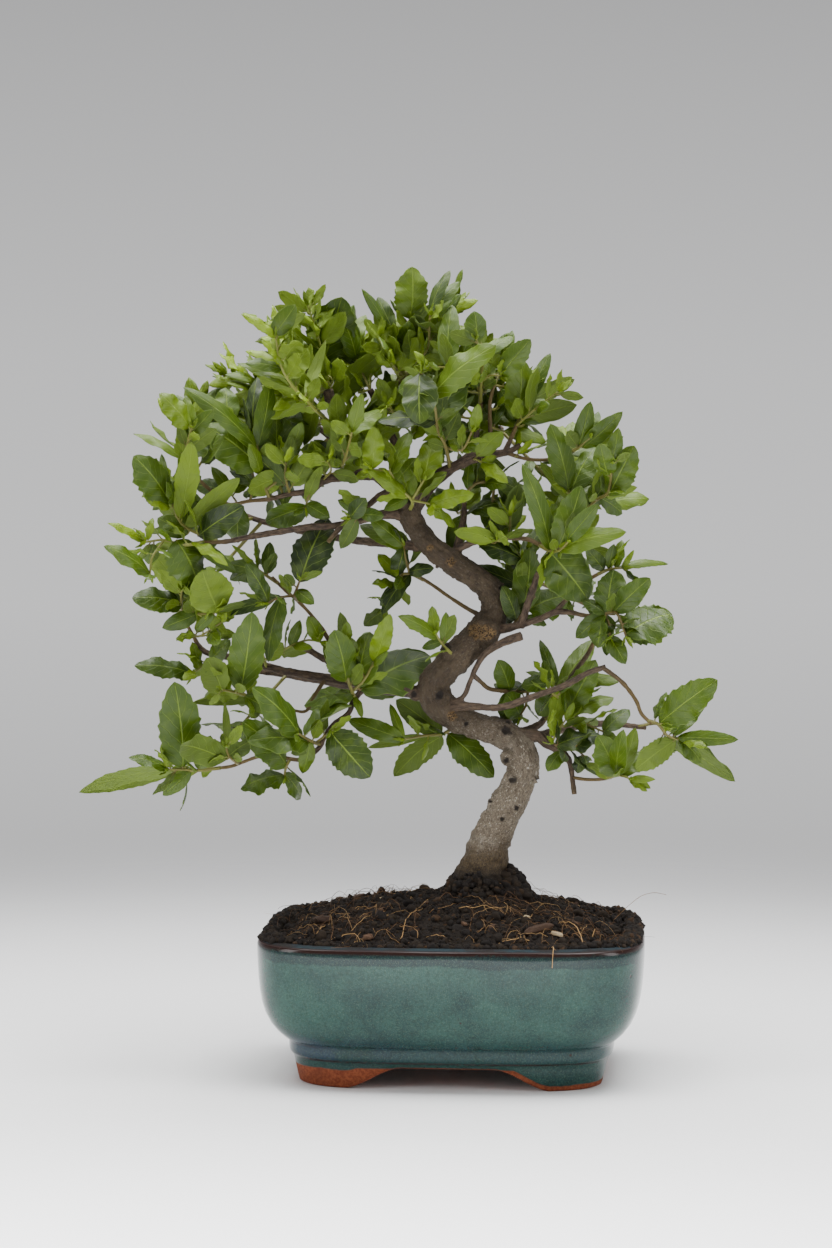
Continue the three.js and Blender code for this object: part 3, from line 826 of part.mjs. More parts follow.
const pot = tidy(potSolid(), "pot");
const wood = tidy(woodSolid(0), "trunk");
const fatWood = woodSolid(GAP);
addPiece("pot", pot, 0x567f73, 0.25);
addPiece("soil", tidy(soilSolid(fatWood), "soil"), 0x241a12, 0.95);
addPiece("trunk", wood, 0x76685a, 0.85);
const toneOf = (leaves) => leaves.reduce((sum, leaf) => sum + leaf[5], 0) / leaves.length / 9;
const oldGreen = new THREE.Color(0x33442a);
const youngGreen = new THREE.Color(0xa8b04a);
const tones = new Map(SHOOTS.map(([name, , leaves]) => [name, toneOf(leaves)]));
FAR_SHOOTS.forEach(([name, source]) => tones.set(name, tones.get(source)));
for (const shoot of growShoots(wood, fatWood, pot)) {
  const color = oldGreen.clone().lerp(youngGreen, tones.get(shoot.name));
  addPiece(shoot.name, shoot.solid, color, 0.5);
}

export default bonsai;
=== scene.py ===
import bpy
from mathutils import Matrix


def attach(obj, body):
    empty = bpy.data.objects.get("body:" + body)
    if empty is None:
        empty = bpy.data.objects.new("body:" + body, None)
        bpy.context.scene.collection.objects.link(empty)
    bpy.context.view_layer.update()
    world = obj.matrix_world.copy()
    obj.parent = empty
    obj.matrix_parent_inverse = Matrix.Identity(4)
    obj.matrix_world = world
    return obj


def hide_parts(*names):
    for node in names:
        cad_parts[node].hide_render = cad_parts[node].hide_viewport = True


bl_info = {
    "name": "Cork oak bonsai",
    "version": (1, 0, 0),
    "blender": (4, 5, 0),
    "location": "View3D > Sidebar > Bonsai",
    "description": "Dresses the packed solids of a cork oak bonsai with glaze, soil, bark and leaves",
    "category": "Add Mesh",
}

import math
import random

import bmesh
import bpy
import numpy as np
from bpy.props import FloatProperty, FloatVectorProperty, IntProperty, PointerProperty
from mathutils import Matrix, Vector, noise
from mathutils.kdtree import KDTree

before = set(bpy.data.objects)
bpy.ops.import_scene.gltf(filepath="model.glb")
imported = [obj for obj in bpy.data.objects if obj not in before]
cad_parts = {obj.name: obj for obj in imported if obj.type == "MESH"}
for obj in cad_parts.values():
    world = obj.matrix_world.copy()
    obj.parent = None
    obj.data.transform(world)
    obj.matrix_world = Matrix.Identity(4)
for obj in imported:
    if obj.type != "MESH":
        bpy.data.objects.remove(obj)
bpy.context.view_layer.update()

# Lengths below are millimetres, and a mesh is brought to metres as it is made.
MM = 0.001

# The tree is drawn as it is seen: x to the right, z up, and y away from the viewer. A point that
# lies deeper is moved along its line of sight, so that it keeps its place in the view.
EYE = Vector((-19, -1300, 275))
AIM = Vector((-19, 0, 224))
TURN = Matrix.Rotation(math.radians(4.5), 3, "Z")
SPREAD_MIDDLE = Vector((23.5, -2.5, 0))
EYE_POINT = TURN @ EYE + SPREAD_MIDDLE

# The pot's rim, its wall and its feet
RIM_LENGTH = 191
RIM_DEPTH = 143
POT_HEIGHT = 71
WALL = 7
FLOOR_BOTTOM = 10.5
FLOOR_TOP = 17
PLAN_POWER = 4.4
DRAIN_RADIUS = 7
DRAIN_OFFSET = 38
# Half the gap between the feet along and across the pot, at the ground and at the top of the arch
GAP_ALONG = (49, 24)
GAP_ACROSS = (32, 14)

# The soil's height at the wall and its rise to the middle, and where the trunk's foot and the
# heap beside it stand, from the pot's middle
SOIL_EDGE = 69.2
MOUND = 17
TRUNK_FOOT = (12, 0)
HEAP = (28, 4)

# The trunk: x, z, y and radius
TRUNK = [
  [13, 52, 0, 9], [13, 66, 0, 13], [12, 78, 0, 17.5], [12.5, 88, 0, 16.5], [13.8, 97, 0, 13.4],
  [16, 106, 0, 11.2], [18, 115, 0, 10.2], [23, 125, -1, 9.2], [29, 137, -2, 8.5],
  [33.5, 147, -2, 8.2], [34.8, 156, -1, 7.8], [31.5, 164.5, 0, 7.4], [24, 169, 2, 7.4],
  [14, 172, 4, 6.8], [6, 175, 4, 6.9], [-1, 179, 2, 7.4], [-8, 185, -2, 8.2],
  [-10, 193, -4, 7.9], [-5, 201, -4, 7.7], [2, 208, -2, 7.9], [9, 214.5, 1, 8],
  [15, 220.5, 3, 8.6], [19, 227, 4, 7], [20, 234, 4, 6.6], [17.5, 241, 3, 6.5],
  [12, 246.5, 1, 6.1], [4.5, 251.5, -1, 6], [-3, 256, -2, 5.9], [-9.5, 261, -2, 5.8],
  [-15, 267, -1, 5.5], [-19.5, 273.5, 1, 5.6], [-23, 281, 2, 6],
]

# The boughs and twigs, each from the wood that carries it
BOUGHS = [
  # The crown's left-hand limb with its cut stump, and what rises from it
  [[-23, 279, 2, 4], [-30, 292, 4, 3.4], [-38, 298, 4, 3], [-48, 298.5, 2, 2.8],
    [-58, 297.5, 0, 2.7], [-66, 295.5, -2, 2.4], [-72, 290.5, -4, 1.8], [-82, 289, -6, 1.4],
    [-92, 286.5, -8, 1.2], [-102, 285.5, -9, 1], [-113, 284, -11, 0.9], [-122, 291, -13, 0.9],
    [-130, 299, -14, 0.9], [-134, 303, -15, 0.8]],
  [[-43, 298.5, 3, 3], [-50, 307, 2, 3], [-55, 314, 1, 3.2], [-58, 324, 0, 3.2],
    [-61, 333, -1, 3], [-63, 341, -2, 2.9]],
  [[-22, 281, 4, 3], [-26, 300, 8, 2.4], [-30, 315, 8, 2.2], [-36, 329, 6, 2], [-42, 341, 4, 1.6]],
  [[-35, 328, 6, 1.6], [-30, 341, 5, 1.2], [-25, 348, 4, 1]],
  # The crown's right-hand limb and its three upright twigs
  [[-20, 279, 2, 3.6], [-17, 290, 0, 3], [-12, 297, -2, 2.7], [-2, 301.5, -4, 2.6],
    [8, 306.5, -5, 2.9], [18, 308.5, -5, 2.4], [27, 310, -5, 1.7], [33, 313.5, -5, 1.2]],
  [[26, 309.5, -5, 1.2], [36, 306.5, -7, 1], [45, 306, -9, 1], [53, 307.5, -10, 1],
    [60, 310.5, -11, 0.9]],
  [[10, 306, -5, 1.6], [11, 318, -3, 1.3], [13, 330, -1, 1.1], [13, 339, 0, 0.9]],
  [[19, 308, -5, 1.4], [18, 322, -4, 1.1], [18, 335, -3, 0.9], [20, 343, -2, 0.8]],
  [[25, 309, -5, 1.4], [29, 318, -4, 1.1], [31, 323, -4, 0.9]],
  # Left of the trunk's top: a long low bough and a thin one that crosses it
  [[-22, 278, 2, 3.8], [-33, 279, 0, 2.7], [-42, 277.5, -3, 2.3], [-52, 274.5, -6, 2.1],
    [-60, 273, -8, 1.9], [-72, 272.5, -10, 1.7], [-85, 270.5, -12, 1.6], [-100, 268, -14, 1.5],
    [-114, 265.2, -16, 1.2], [-127, 265, -18, 0.9]],
  [[-23, 282, -1, 2], [-33, 290, -6, 1.6], [-45, 281.5, -9, 1.5], [-55, 274, -11, 1.4],
    [-63, 265, -14, 1.1]],
  # Right of the trunk's upper half
  [[1, 258, 0, 2.8], [3, 268, 2, 2], [5, 278, 4, 1.5], [5, 287, 5, 1.1]],
  [[2, 261.5, -1, 1.9], [10, 265, -4, 1.6], [20, 267.3, -6, 1.3], [30, 267, -8, 1.2],
    [38, 266, -10, 1.1], [46, 261.5, -12, 1]],
  [[42, 263.5, -11, 1], [52, 268, -9, 0.9], [60, 274, -7, 0.9], [66, 281, -6, 0.8]],
  [[20, 221, 1, 3], [28, 222.3, -2, 2.2], [36, 224.3, -4, 1.8], [44, 227, -6, 1.6],
    [51, 230, -8, 1.7], [58, 229.8, -9, 1.3], [66, 228.2, -10, 1.1], [73, 228, -11, 0.9]],
  [[33, 222, -3, 2.1], [36, 231, -4, 2], [39, 240, -5, 1.8], [42, 249, -6, 1.5],
    [43.5, 253.5, -6, 1.3]],
  [[50, 229, -8, 1.4], [56, 236, -8, 1.2], [62, 241, -9, 1], [67, 246, -10, 1],
    [75, 250.5, -11, 0.8]],
  # The low boughs on the right
  [[-6, 184, -4, 2], [4, 187, -8, 1.4], [8, 195, -9, 1.4], [11, 202, -9, 1.5],
    [15, 208.5, -10, 1.7], [22, 213.5, -9, 2], [28, 216, -9, 2.3], [34, 218, -10, 2.3]],
  [[-4, 182, -4, 3], [4, 183, -8, 2.4], [12, 182.5, -10, 2], [20, 182, -12, 1.8],
    [27, 183, -14, 1.7], [34, 185.5, -16, 1.7], [41, 188, -18, 1.6], [48, 190.5, -20, 1.5],
    [54, 192.5, -21, 1.5], [60, 195.5, -22, 1.5], [67, 199.5, -23, 1.4], [76, 202.5, -24, 1.3]],
  [[74, 202.5, -24, 1.2], [84, 195, -25, 1.1], [91, 186, -26, 0.9], [94, 179, -27, 0.9],
    [99, 174, -28, 0.8]],
  [[34, 169, 2, 3], [41, 172.5, 6, 2], [45, 176, 8, 1.7], [50, 184.5, 9, 1.5],
    [57, 195, 10, 1.4], [62, 202, 10, 1.3], [67, 209, 9, 1.2], [70, 215, 8, 1],
    [73, 222, 6, 0.8], [77, 231, 4, 0.7]],
  [[32, 168.5, -1, 4], [42, 168, -3, 2.9], [46, 164.5, -5, 2.6], [51, 161.5, -7, 2.2],
    [56, 158, -9, 1.9], [58.5, 153, -10, 1.5], [59.5, 146, -11, 1.3], [60.5, 138.5, -12, 1.2]],
  [[59.5, 147, -11, 1], [66, 146, -13, 0.9], [73, 146, -15, 0.9], [79, 147, -17, 0.9]],
  [[9.5, 198.5, -9.2, 1.4], [14, 194.5, -3, 1.1], [18, 191.5, 0, 1.1], [27, 190, 3, 1]],
  # The low boughs on the left
  [[-13, 190, -4, 3.4], [-22, 190.5, -5, 3], [-32, 192.5, -2, 2.5], [-48, 194.5, 2, 2.4],
    [-64, 197, 6, 2.4], [-80, 199.5, 8, 2.2], [-95, 203, 8, 2], [-110, 207, 6, 1.8],
    [-120, 208.5, 4, 1.6], [-126.5, 211.5, 3, 1.5], [-131, 219, 2, 0.9], [-136, 228, 0, 0.8]],
  [[-48, 194.5, 3, 2], [-58, 203, 10, 1.8], [-66, 207, 9, 1.8], [-75, 212.5, 8, 1.9]],
  [[-49, 194, 1, 1.6], [-58, 207, 4, 1.2], [-65, 220, 2, 1.1], [-71, 228, 0, 0.9],
    [-78, 235.5, -2, 0.9], [-84, 240.5, -4, 0.9], [-91, 247.5, -6, 0.8]],
  [[-43, 194, 1, 1.8], [-50, 186, -4, 1.5], [-53, 179, -8, 1.4], [-60, 174, -10, 1.3],
    [-65, 167, -12, 1.3], [-68, 161.5, -13, 1.3], [-76, 156, -14, 1.1], [-86, 157, -14, 1],
    [-97, 157.5, -15, 0.9], [-105, 155, -16, 0.9], [-112, 152.5, -17, 0.9],
    [-120, 151.5, -18, 0.8]],
  [[-64, 197, 5, 1.2], [-70, 188, 4, 0.9], [-74, 180.5, 2, 0.9], [-82, 181, 0, 0.8],
    [-98, 184, -2, 0.8]],
  [[18, 226, 3, 1.6], [8, 231, 8, 1.1], [-3, 238, 9, 0.9], [-10, 243, 9, 0.9], [-18, 248, 8, 0.9]],
  # Boughs that reach away from the viewer and carry the back of the crown
  [[-22, 279, 5, 3.4], [-30, 290, 16, 2.8], [-42, 300, 30, 2.4], [-56, 312, 44, 1.9],
    [-70, 324, 54, 1.4]],
  [[-20, 280, 5, 3], [-12, 292, 16, 2.6], [0, 302, 28, 2.2], [12, 312, 40, 1.8],
    [24, 322, 48, 1.3]],
  [[-11, 262, 1, 3.4], [-28, 264, 14, 2.6], [-50, 266, 28, 2.2], [-74, 270, 42, 1.8],
    [-98, 276, 52, 1.4], [-116, 284, 58, 1]],
  [[-9, 188, 1, 3.4], [-26, 190, 18, 2.6], [-46, 192, 34, 2.2], [-70, 196, 48, 1.8],
    [-96, 200, 56, 1.4], [-118, 200, 60, 1]],
  [[19, 229, 7, 3.2], [30, 238, 18, 2.5], [42, 248, 32, 2.1], [54, 258, 44, 1.7],
    [64, 268, 52, 1.3]],
  [[30, 164, 4, 3.2], [44, 168, 18, 2.6], [58, 172, 32, 2.2], [76, 174, 44, 1.7],
    [96, 172, 52, 1.2]],
]

# Burls and healed scars: x, z, y and radius
KNOTS = [
  [26, 168, -5, 4.8], [-6, 187, -9, 4], [-19, 189, -4, 3.6], [-3, 210, -7, 3.4],
  [16, 221, -4, 6], [28, 146, -8, 4], [27, 157, -6, 4],
]

# Every shoot that faces the viewer: its name, the lines of its stem from the wood outward as
# x, z, y, and its leaves as base x, z, tip x, z, the width seen and a tone from 0, old and dark,
# to 9, young and yellow. u shows its underside, t is strongly toothed and f has a folded edge.
SHOOTS = [
  ["crown_tip_left",
    [[[-57, 321, 0], [-66, 328, -3], [-73, 335, -6], [-80, 342, -8], [-86, 352, -9],
     [-89, 367, -10]]],
    [[-89, 367, -106, 378.5, 4.5, 8], [-90, 369, -94, 375, 2.5, 8], [-90, 368, -79, 383, 10, 5],
     [-88, 368, -74, 379, 6, 6, "u"], [-85, 356, -77, 365, 10, 7, "u"],
     [-84, 347, -73, 361.5, 12, 7, "u"], [-87, 354, -104, 360, 4, 8],
     [-85, 353, -93, 361, 2.5, 7], [-86, 351, -104, 354, 6, 4], [-88, 356, -89, 369, 5, 8],
     [-80, 342, -108, 354, 6, 6], [-74, 338, -64, 365, 6, 6, "u"]]],
  ["crown_left_big",
    [[[-61, 330, -1], [-62, 340, 5], [-66, 351, 8]], [[-62, 340, 5], [-55, 350, 6],
     [-46, 357, 7]]],
    [[-66, 352, -56, 387, 25, 4, "t"], [-56, 352, -44, 378, 10, 6], [-46, 357, -40, 371, 7, 7],
     [-66, 342, -56, 352, 5, 5], [-63, 334, -32, 362, 12, 6, "u"], [-60, 340, -52, 349, 6, 5],
     [-66, 350, -78, 368, 11, 4], [-48, 356, -36, 362, 8, 5]]],
  ["crown_top",
    [[[-26, 344, 4], [-27, 350, 4], [-30, 362, 2], [-33, 369, 0]], [[-27, 350, 4], [-24, 362, 6],
     [-22, 376, 6]], [[-27, 350, 4], [-14, 360, 0], [-12, 378, -2]]],
    [[-33, 370, -46, 391, 4.5, 4], [-30, 370, -38, 387, 8, 2], [-22, 376, -21, 402, 17, 6, "t"],
     [-30, 362, -28, 377, 7, 9], [-25, 368, -5, 369, 15, 4, "u"], [-12, 379, -2, 400, 6, 2],
     [-12, 379, 3, 394.5, 7, 4], [-11, 376, -1, 385, 4, 5], [-16, 357, -17.5, 373, 3.5, 8],
     [-29, 358, -40, 368, 9, 4]]],
  ["crown_top_right",
    [[[13, 334, 0], [13.5, 345, -1], [14, 356, 1], [11, 366, 2]], [[13.5, 345, -1], [5, 350, -3],
     [-3, 352, -4], [-12, 352, -5]], [[13.5, 345, -1], [18, 348, -5], [23, 348, -7]]],
    [[-13, 351, -20, 360, 4, 9], [-3, 352, -1, 383, 11, 4], [11, 365, 10, 380, 11, 5],
     [14, 358, 30, 367, 6, 5], [23, 348, 38, 366, 12, 5, "t"], [12, 342, 6, 353, 8, 4],
     [18, 346, 17, 357, 6, 6], [3, 350, 7, 366, 8, 5]]],
  ["crown_right_front",
    [[[29, 318, -4], [33, 328, -6], [37, 336, -7]]],
    [[32, 326, 33.5, 356, 16, 6, "t"], [37, 335, 60, 346, 9, 5, "ut"], [33, 325, 51, 327, 5, 4],
     [36, 334, 48, 359, 8, 4]]],
  ["crown_centre",
    [[[-2, 301, -4], [-4, 312, -9], [-8, 321, -11], [-10, 334, -12], [-16, 349, -12]],
     [[-4, 312, -9], [4, 311, -11], [9, 320, -11]]],
    [[-17, 349, -17, 324, 18, 2], [-9, 322, 7, 351, 14, 3], [-9, 325, -38, 325, 9, 1],
     [-6, 320, 10, 338, 5, 2, "u"], [10, 321, 12, 334, 6, 7], [4, 310, 12, 317, 7, 5],
     [2, 310, -2, 318, 5, 6], [-11, 338, 21, 363, 14, 6, "t"], [-14, 346, -28, 340, 10, 4]]],
  ["left_upper",
    [[[-92, 286.5, -8], [-94, 291, -9], [-97, 300, -10], [-98, 311, -12], [-100, 319, -13]],
     [[-94, 291, -9], [-86, 298, -8], [-82, 311, -7]], [[-98, 311, -12], [-106, 318, -15],
     [-113, 325, -16]]],
    [[-98, 311, -135, 342, 9, 4], [-85, 299, -90, 329, 21, 4, "t"], [-98, 312, -92, 346, 10, 4],
     [-82, 311, -80, 341, 12, 5, "t"], [-82, 309, -76, 325, 8, 6], [-100, 318, -98, 347, 9, 1],
     [-113, 325, -114, 342, 13, 5], [-97, 302, -124, 323, 20, 4],
     [-86, 298, -103, 290, 12, 6, "u"]]],
  ["left_outer_up",
    [[[-132, 301, -14.5], [-135, 306, -17], [-133, 314, -18], [-131, 322, -19]]],
    [[-132, 322, -147, 339, 11, 7], [-130, 321, -134, 338, 6, 6], [-135, 306, -160, 319, 4.5, 6],
     [-133, 308, -122, 315, 9, 3], [-132, 318, -120, 331, 8, 5]]],
  ["left_outer_mid",
    [[[-118, 265.1, -16.6], [-133, 271.6, -21.4], [-138, 277, -24], [-141, 285, -26]]],
    [[-142, 284, -160, 308, 17, 4, "t"], [-142, 286, -146, 309, 5, 5],
     [-140, 284, -139, 296, 6, 3], [-139, 283, -135, 303, 6, 6, "u"],
     [-142, 282, -155.5, 288, 6, 9], [-133, 269, -148, 277, 11, 5], [-134, 272, -132, 291, 8, 5],
     [-134, 272, -107, 297, 10, 6, "u"], [-128, 268, -105, 283, 14, 1],
     [-137, 277, -131, 315, 12, 7, "u"]]],
  ["left_small",
    [[[-125, 265, -17.8], [-135, 263.5, -18], [-145, 266, -18], [-154, 265, -19]],
     [[-145, 266, -18], [-151, 257, -22], [-152, 249, -24]]],
    [[-155, 265, -173, 274.5, 4, 8], [-153, 266, -150.5, 277, 4, 7], [-154, 265, -158, 271, 3, 8],
     [-150, 264, -153, 254, 8, 4], [-152, 249, -175, 263, 8, 5],
     [-139, 266, -128, 243, 20, 4, "t"], [-130, 265, -109, 249.5, 7, 4],
     [-131, 265, -113, 253, 5, 8]]],
  ["left_mid",
    [[[-135, 226, 0.5], [-136, 231, -2], [-136.5, 235, -4], [-136, 241, -7]], [[-136, 231, -2],
     [-128, 229, -8], [-119, 230, -10]]],
    [[-136, 234, -161, 237, 12, 3], [-137, 240, -151, 260, 11, 7, "u"],
     [-118, 230, -126, 251, 22, 6, "u"], [-120, 229, -129, 221, 5, 5],
     [-136, 238, -124, 252, 9, 4], [-128, 229, -146, 222, 9, 4]]],
  ["left_inner_tip",
    [[[-88, 244.5, -5.2], [-95, 249, -9], [-100, 253, -11]]],
    [[-100, 252, -111, 263.5, 3, 7], [-93, 250, -92, 265, 7, 3],
     [-94, 249, -89, 259.5, 6, 3, "u"], [-98, 253, -99, 267, 2.5, 7],
     [-97, 251, -112, 246, 8, 3]]],
  ["left_inner",
    [[[-78, 235.5, -2], [-80, 238, -7], [-88, 237, -10], [-93, 234.5, -11]], [[-80, 238, -7],
     [-77, 246, -9]]],
    [[-93, 235, -104, 254, 9, 2], [-90, 236, -117, 229, 7, 2], [-86, 238, -93, 205, 10, 3],
     [-77, 245, -63, 277, 19, 1, "t"], [-79, 241, -70, 234, 7, 5]]],
  ["left_sprigs",
    [[[-94, 202.5, 7], [-96, 210, 1]], [[-95, 206, 4], [-88, 209, 0], [-82, 213, -1],
     [-73, 216, -3], [-67, 215, -5]]],
    [[-96, 209, -99, 223, 4.5, 7], [-96, 209, -92, 219, 3.5, 7], [-82, 213, -77, 226, 6, 5],
     [-67, 215, -73, 228, 8, 6]]],
  ["left_low_a",
    [[[-95, 183.7, -1.6], [-107, 189, -6], [-116, 191, -9]]],
    [[-107, 190, -101, 230, 18, 5, "t"], [-116, 190, -124, 207, 15, 5, "u"],
     [-99, 186, -131, 184.5, 5, 5, "u"], [-113, 191, -115, 199, 5, 6],
     [-105, 188, -90, 179, 9, 4]]],
  ["left_low_tip",
    [[[-118, 208, 4], [-126, 203, -1], [-131, 199, -4]]],
    [[-131, 199, -160, 203, 10, 4, "t"], [-130, 198, -143, 205, 5, 8],
     [-128, 201, -131, 215, 6, 7], [-122, 205, -112, 216, 9, 5]]],
  ["left_bottom",
    [[[-117, 151.8, -17.6], [-128, 150.5, -21], [-136, 151, -23], [-143, 151, -24]]],
    [[-136, 152, -140, 195, 21, 4, "t"], [-142, 152, -147, 163, 5, 7, "u"],
     [-143, 151, -163, 157, 6, 5, "t"], [-140, 150, -188, 139.5, 8, 5, "ut"],
     [-128, 151, -122, 168, 10, 4], [-132, 150, -146, 138, 8, 5]]],
  ["left_bottom_in",
    [[[-108, 153.8, -16.5], [-113, 158, -21], [-114, 162, -22]]],
    [[-114, 156, -137, 163, 15, 4, "u"], [-114, 160, -115, 185, 4, 5, "u"],
     [-114, 157, -100, 166, 9, 3, "u"]]],
  ["left_bottom_mid",
    [[[-82, 156.6, -13.7], [-84, 153, -18], [-85, 148, -20]]],
    [[-84, 153, -106, 175, 16, 5, "t"], [-84, 152, -97, 157, 5, 5],
     [-85, 148, -107, 141, 12, 5, "t"], [-85, 149, -77, 136, 8, 4]]],
  ["left_low_fold",
    [[[-67, 163.5, -12.8], [-71, 165, -17], [-78, 169, -20]], [[-69, 164.5, -15],
     [-62, 170, -18]]],
    [[-73, 165, -103, 165, 13, 4], [-72, 165, -76, 149, 8, 6], [-62, 170, -42, 147, 20, 2, "t"],
     [-75, 168, -51, 183, 14, 5, "f"], [-78, 169, -101, 192, 14, 4]]],
  ["centre_left",
    [[[-49.5, 187, -3.6], [-51, 190, -10], [-53, 196, -13], [-54, 204, -14], [-54, 213, -13]],
     [[-51, 190, -10], [-45, 196, -13], [-40, 205, -13]]],
    [[-54, 195, -60, 221, 16, 4, "t"], [-48, 192, -42, 220, 16, 5], [-50, 189, -75, 183, 13, 5],
     [-47, 191, -12, 208, 23, 3], [-40, 205, -32, 229, 10, 7], [-54, 213, -57, 230, 6, 4, "u"],
     [-54, 205, -51, 217, 10, 6], [-50, 188, -46, 177, 4, 6]]],
  ["behind_trunk_low",
    [[[1, 174, 8], [-5, 169, 14], [-15, 168, 17], [-25, 166, 18]]],
    [[-6, 169, -29, 186, 14, 4, "u"], [-25, 166, -32, 184, 5, 6], [-15, 168, -43, 162, 5, 5, "u"],
     [-6, 168, -30, 147.5, 13, 4, "ut"], [-3, 169, 20, 147, 15, 3, "t"],
     [-25, 166, -53, 176, 10, 5]]],
  ["trunk_mid_left",
    [[[-15, 246, 8.3], [-22, 249, 6], [-28, 247, 3], [-34, 232, 1]], [[-22, 249, 6],
     [-24, 256, 4], [-25, 263, 2]]],
    [[-22, 249, -36, 229, 8, 1], [-34, 231, -45, 223, 8, 3, "u"], [-29, 245, -37, 233, 4, 2],
     [-28, 248, -38, 259, 7, 8], [-29, 244, -41, 244, 5, 7], [-25, 262, -30, 247, 9, 2],
     [-25, 262, -47, 273.5, 9, 6], [-25, 263, -42, 277, 9, 5], [-23, 250, -10, 252, 7, 1]]],
  ["trunk_small_left",
    [[[0, 208, -7], [-6, 214, -12], [-9, 219, -13]]],
    [[-8, 217, -28, 228, 7, 6, "t"], [-9, 219, -11, 233, 6, 7], [-5, 214, -4, 230, 6, 6],
     [-6, 215, -16, 212, 5, 4]]],
  ["mid_right_a",
    [[[43, 263.2, -11.6], [48, 260.5, -15], [53, 261, -17], [57, 265, -18]]],
    [[48, 261, 34, 304, 10, 5], [50, 262, 49, 284, 10, 4], [52, 262, 63.5, 293, 15, 4, "t"],
     [53, 262, 60, 274, 5, 8], [56, 265, 72, 284, 9, 4], [48, 261, 44, 270, 4, 8],
     [47, 261, 67, 236, 23, 3], [53, 261, 86, 270, 10, 6]]],
  ["mid_right_b",
    [[[29, 222.6, -2.4], [33, 228, 4], [37, 231, 6]], [[33, 228, 4], [34, 241, -4],
     [34, 257, -14]]],
    [[34, 256, 12, 264, 10, 1], [34, 243, 10, 253, 9, 2], [34, 229, 38, 262, 15, 5],
     [37, 231, 56, 238, 17, 4], [31, 226, 24, 243, 9, 2], [34, 252, 42, 259, 5, 1],
     [34, 256, 44, 272, 9, 4]]],
  ["right_up",
    [[[57, 309.5, -10.6], [62, 312, -14], [68, 317, -16]]],
    [[62, 312, 68, 335, 9, 4], [68, 316, 72, 330, 6, 5], [64, 312, 84, 330, 9, 4],
     [67, 315, 80, 314, 7, 6]]],
  ["right_up_inner",
    [[[61, 275, -7], [60, 284, -10], [57, 291, -11]]],
    [[57, 291, 48, 324, 13, 5, "t"], [58.6, 290, 70.4, 312, 13, 5],
     [59, 285, 43, 305, 5.5, 5, "u"], [60, 283, 71, 293, 8, 4]]],
  ["right_up_outer",
    [[[64.5, 279, -6.3], [71, 286, -9], [77, 290, -10], [79, 304, -11]]],
    [[77, 288, 90, 313, 16, 5, "t"], [77, 298, 73, 314, 11, 5], [68, 283, 78, 299, 11, 4],
     [73, 287, 84, 279, 8, 3], [78, 302, 82, 322, 8, 5]]],
  ["centre_leaflets",
    [[[5, 284, 4.7], [8, 292, 0], [14, 295, -2], [22, 293, -3], [31, 290, -4], [40, 285, -5]],
     [[20, 293, -3], [19, 282, -1], [18, 274, 0]]],
    [[38, 286, 21, 296, 10, 5], [9, 292, 21, 299, 6, 2], [22, 292, 36, 283, 8, 4],
     [40, 284, 50, 285, 6, 2], [17, 294, 18, 303, 4, 7], [7, 291, 8, 305, 6, 4],
     [12, 295, 14, 307, 6, 4, "u"], [18, 274, 29, 279, 11, 1]]],
  ["crown_front",
    [[[-22, 281, -2], [-21, 286, -11], [-29, 293, -12], [-32, 300, -12], [-41, 301, -12]],
     [[-21, 286, -11], [-15, 296, -12]], [[-21, 286, -11], [-12, 284, -12]]],
    [[-41, 301, -40, 322.5, 11, 7], [-31, 299, -22, 320, 9, 6], [-30, 294, -19, 307, 9, 6],
     [-15, 296, -9, 318, 13, 7], [-23, 287, -43, 301, 7, 7], [-22, 287, -25, 303, 8, 6],
     [-19, 288, -17, 305, 8, 5], [-23, 287, -35, 281, 6, 5], [-12, 284, 10, 289, 9, 7],
     [-14, 284, 1, 272, 5, 7]]],
  ["crown_front_left",
    [[[-56, 297, 0], [-56, 302, -6], [-53, 311, -8], [-51, 320, -9]]],
    [[-51, 320, -46, 339, 7, 6], [-51, 319, -36, 331, 8, 6], [-55, 304, -47, 319, 8, 6],
     [-56, 301, -44, 305, 6, 6, "u"], [-56, 303, -76, 310, 6, 6, "u"],
     [-56, 302, -70, 316, 9, 0]]],
  ["crown_left_drop",
    [[[-71, 292, -3.5], [-73, 287, -9], [-74, 283, -10]]],
    [[-74, 285, -66, 303, 6, 5, "u"], [-73, 283, -94, 275, 14, 4, "f"],
     [-74, 284, -62, 277, 8, 4]]],
  ["diagonal_leaves",
    [[[-43, 283, -8], [-46, 279, -13], [-52, 277, -14]]],
    [[-52, 277, -44, 287, 9, 2], [-46, 280, -58, 286, 6, 5], [-47, 279, -35, 278, 7, 4]]],
  ["right_mid_outer",
    [[[72, 249, -10.7], [78, 251.5, -14], [84, 252, -15]]],
    [[77, 252, 80, 264, 6, 3], [81, 252, 84, 266, 6, 6], [84, 252, 90, 261, 3, 7],
     [82, 252, 107, 254, 4, 6, "t"], [78, 251, 86, 238, 8, 4], [75, 251, 66, 262, 8, 2]]],
  ["right_mid_low",
    [[[69, 228.1, -10.4], [76, 229, -14], [81, 230, -15], [84, 224, -16], [86, 218, -16]],
     [[76, 229, -14], [78, 222, -15], [78, 217, -15]]],
    [[80, 230, 98, 247, 12, 4], [77, 229, 80, 251, 16, 3, "t"], [76, 229, 72, 212, 13, 3],
     [86, 219, 109, 229, 20, 3, "t"], [78, 218, 86, 204, 9, 3], [74, 229, 61, 217, 9, 3],
     [76, 229, 64, 236, 6, 3]]],
  ["right_inner",
    [[[45, 176, 8], [52, 178, 1], [58, 179, -1], [66, 174, -3], [75, 170, -4]]],
    [[57, 180, 71, 206, 14, 5, "t"], [58, 179, 80, 187, 8, 6], [70, 172, 60, 163, 9, 5],
     [75, 170, 88, 181, 9, 4], [75, 170, 84, 158, 8, 3]]],
  ["right_inner_up",
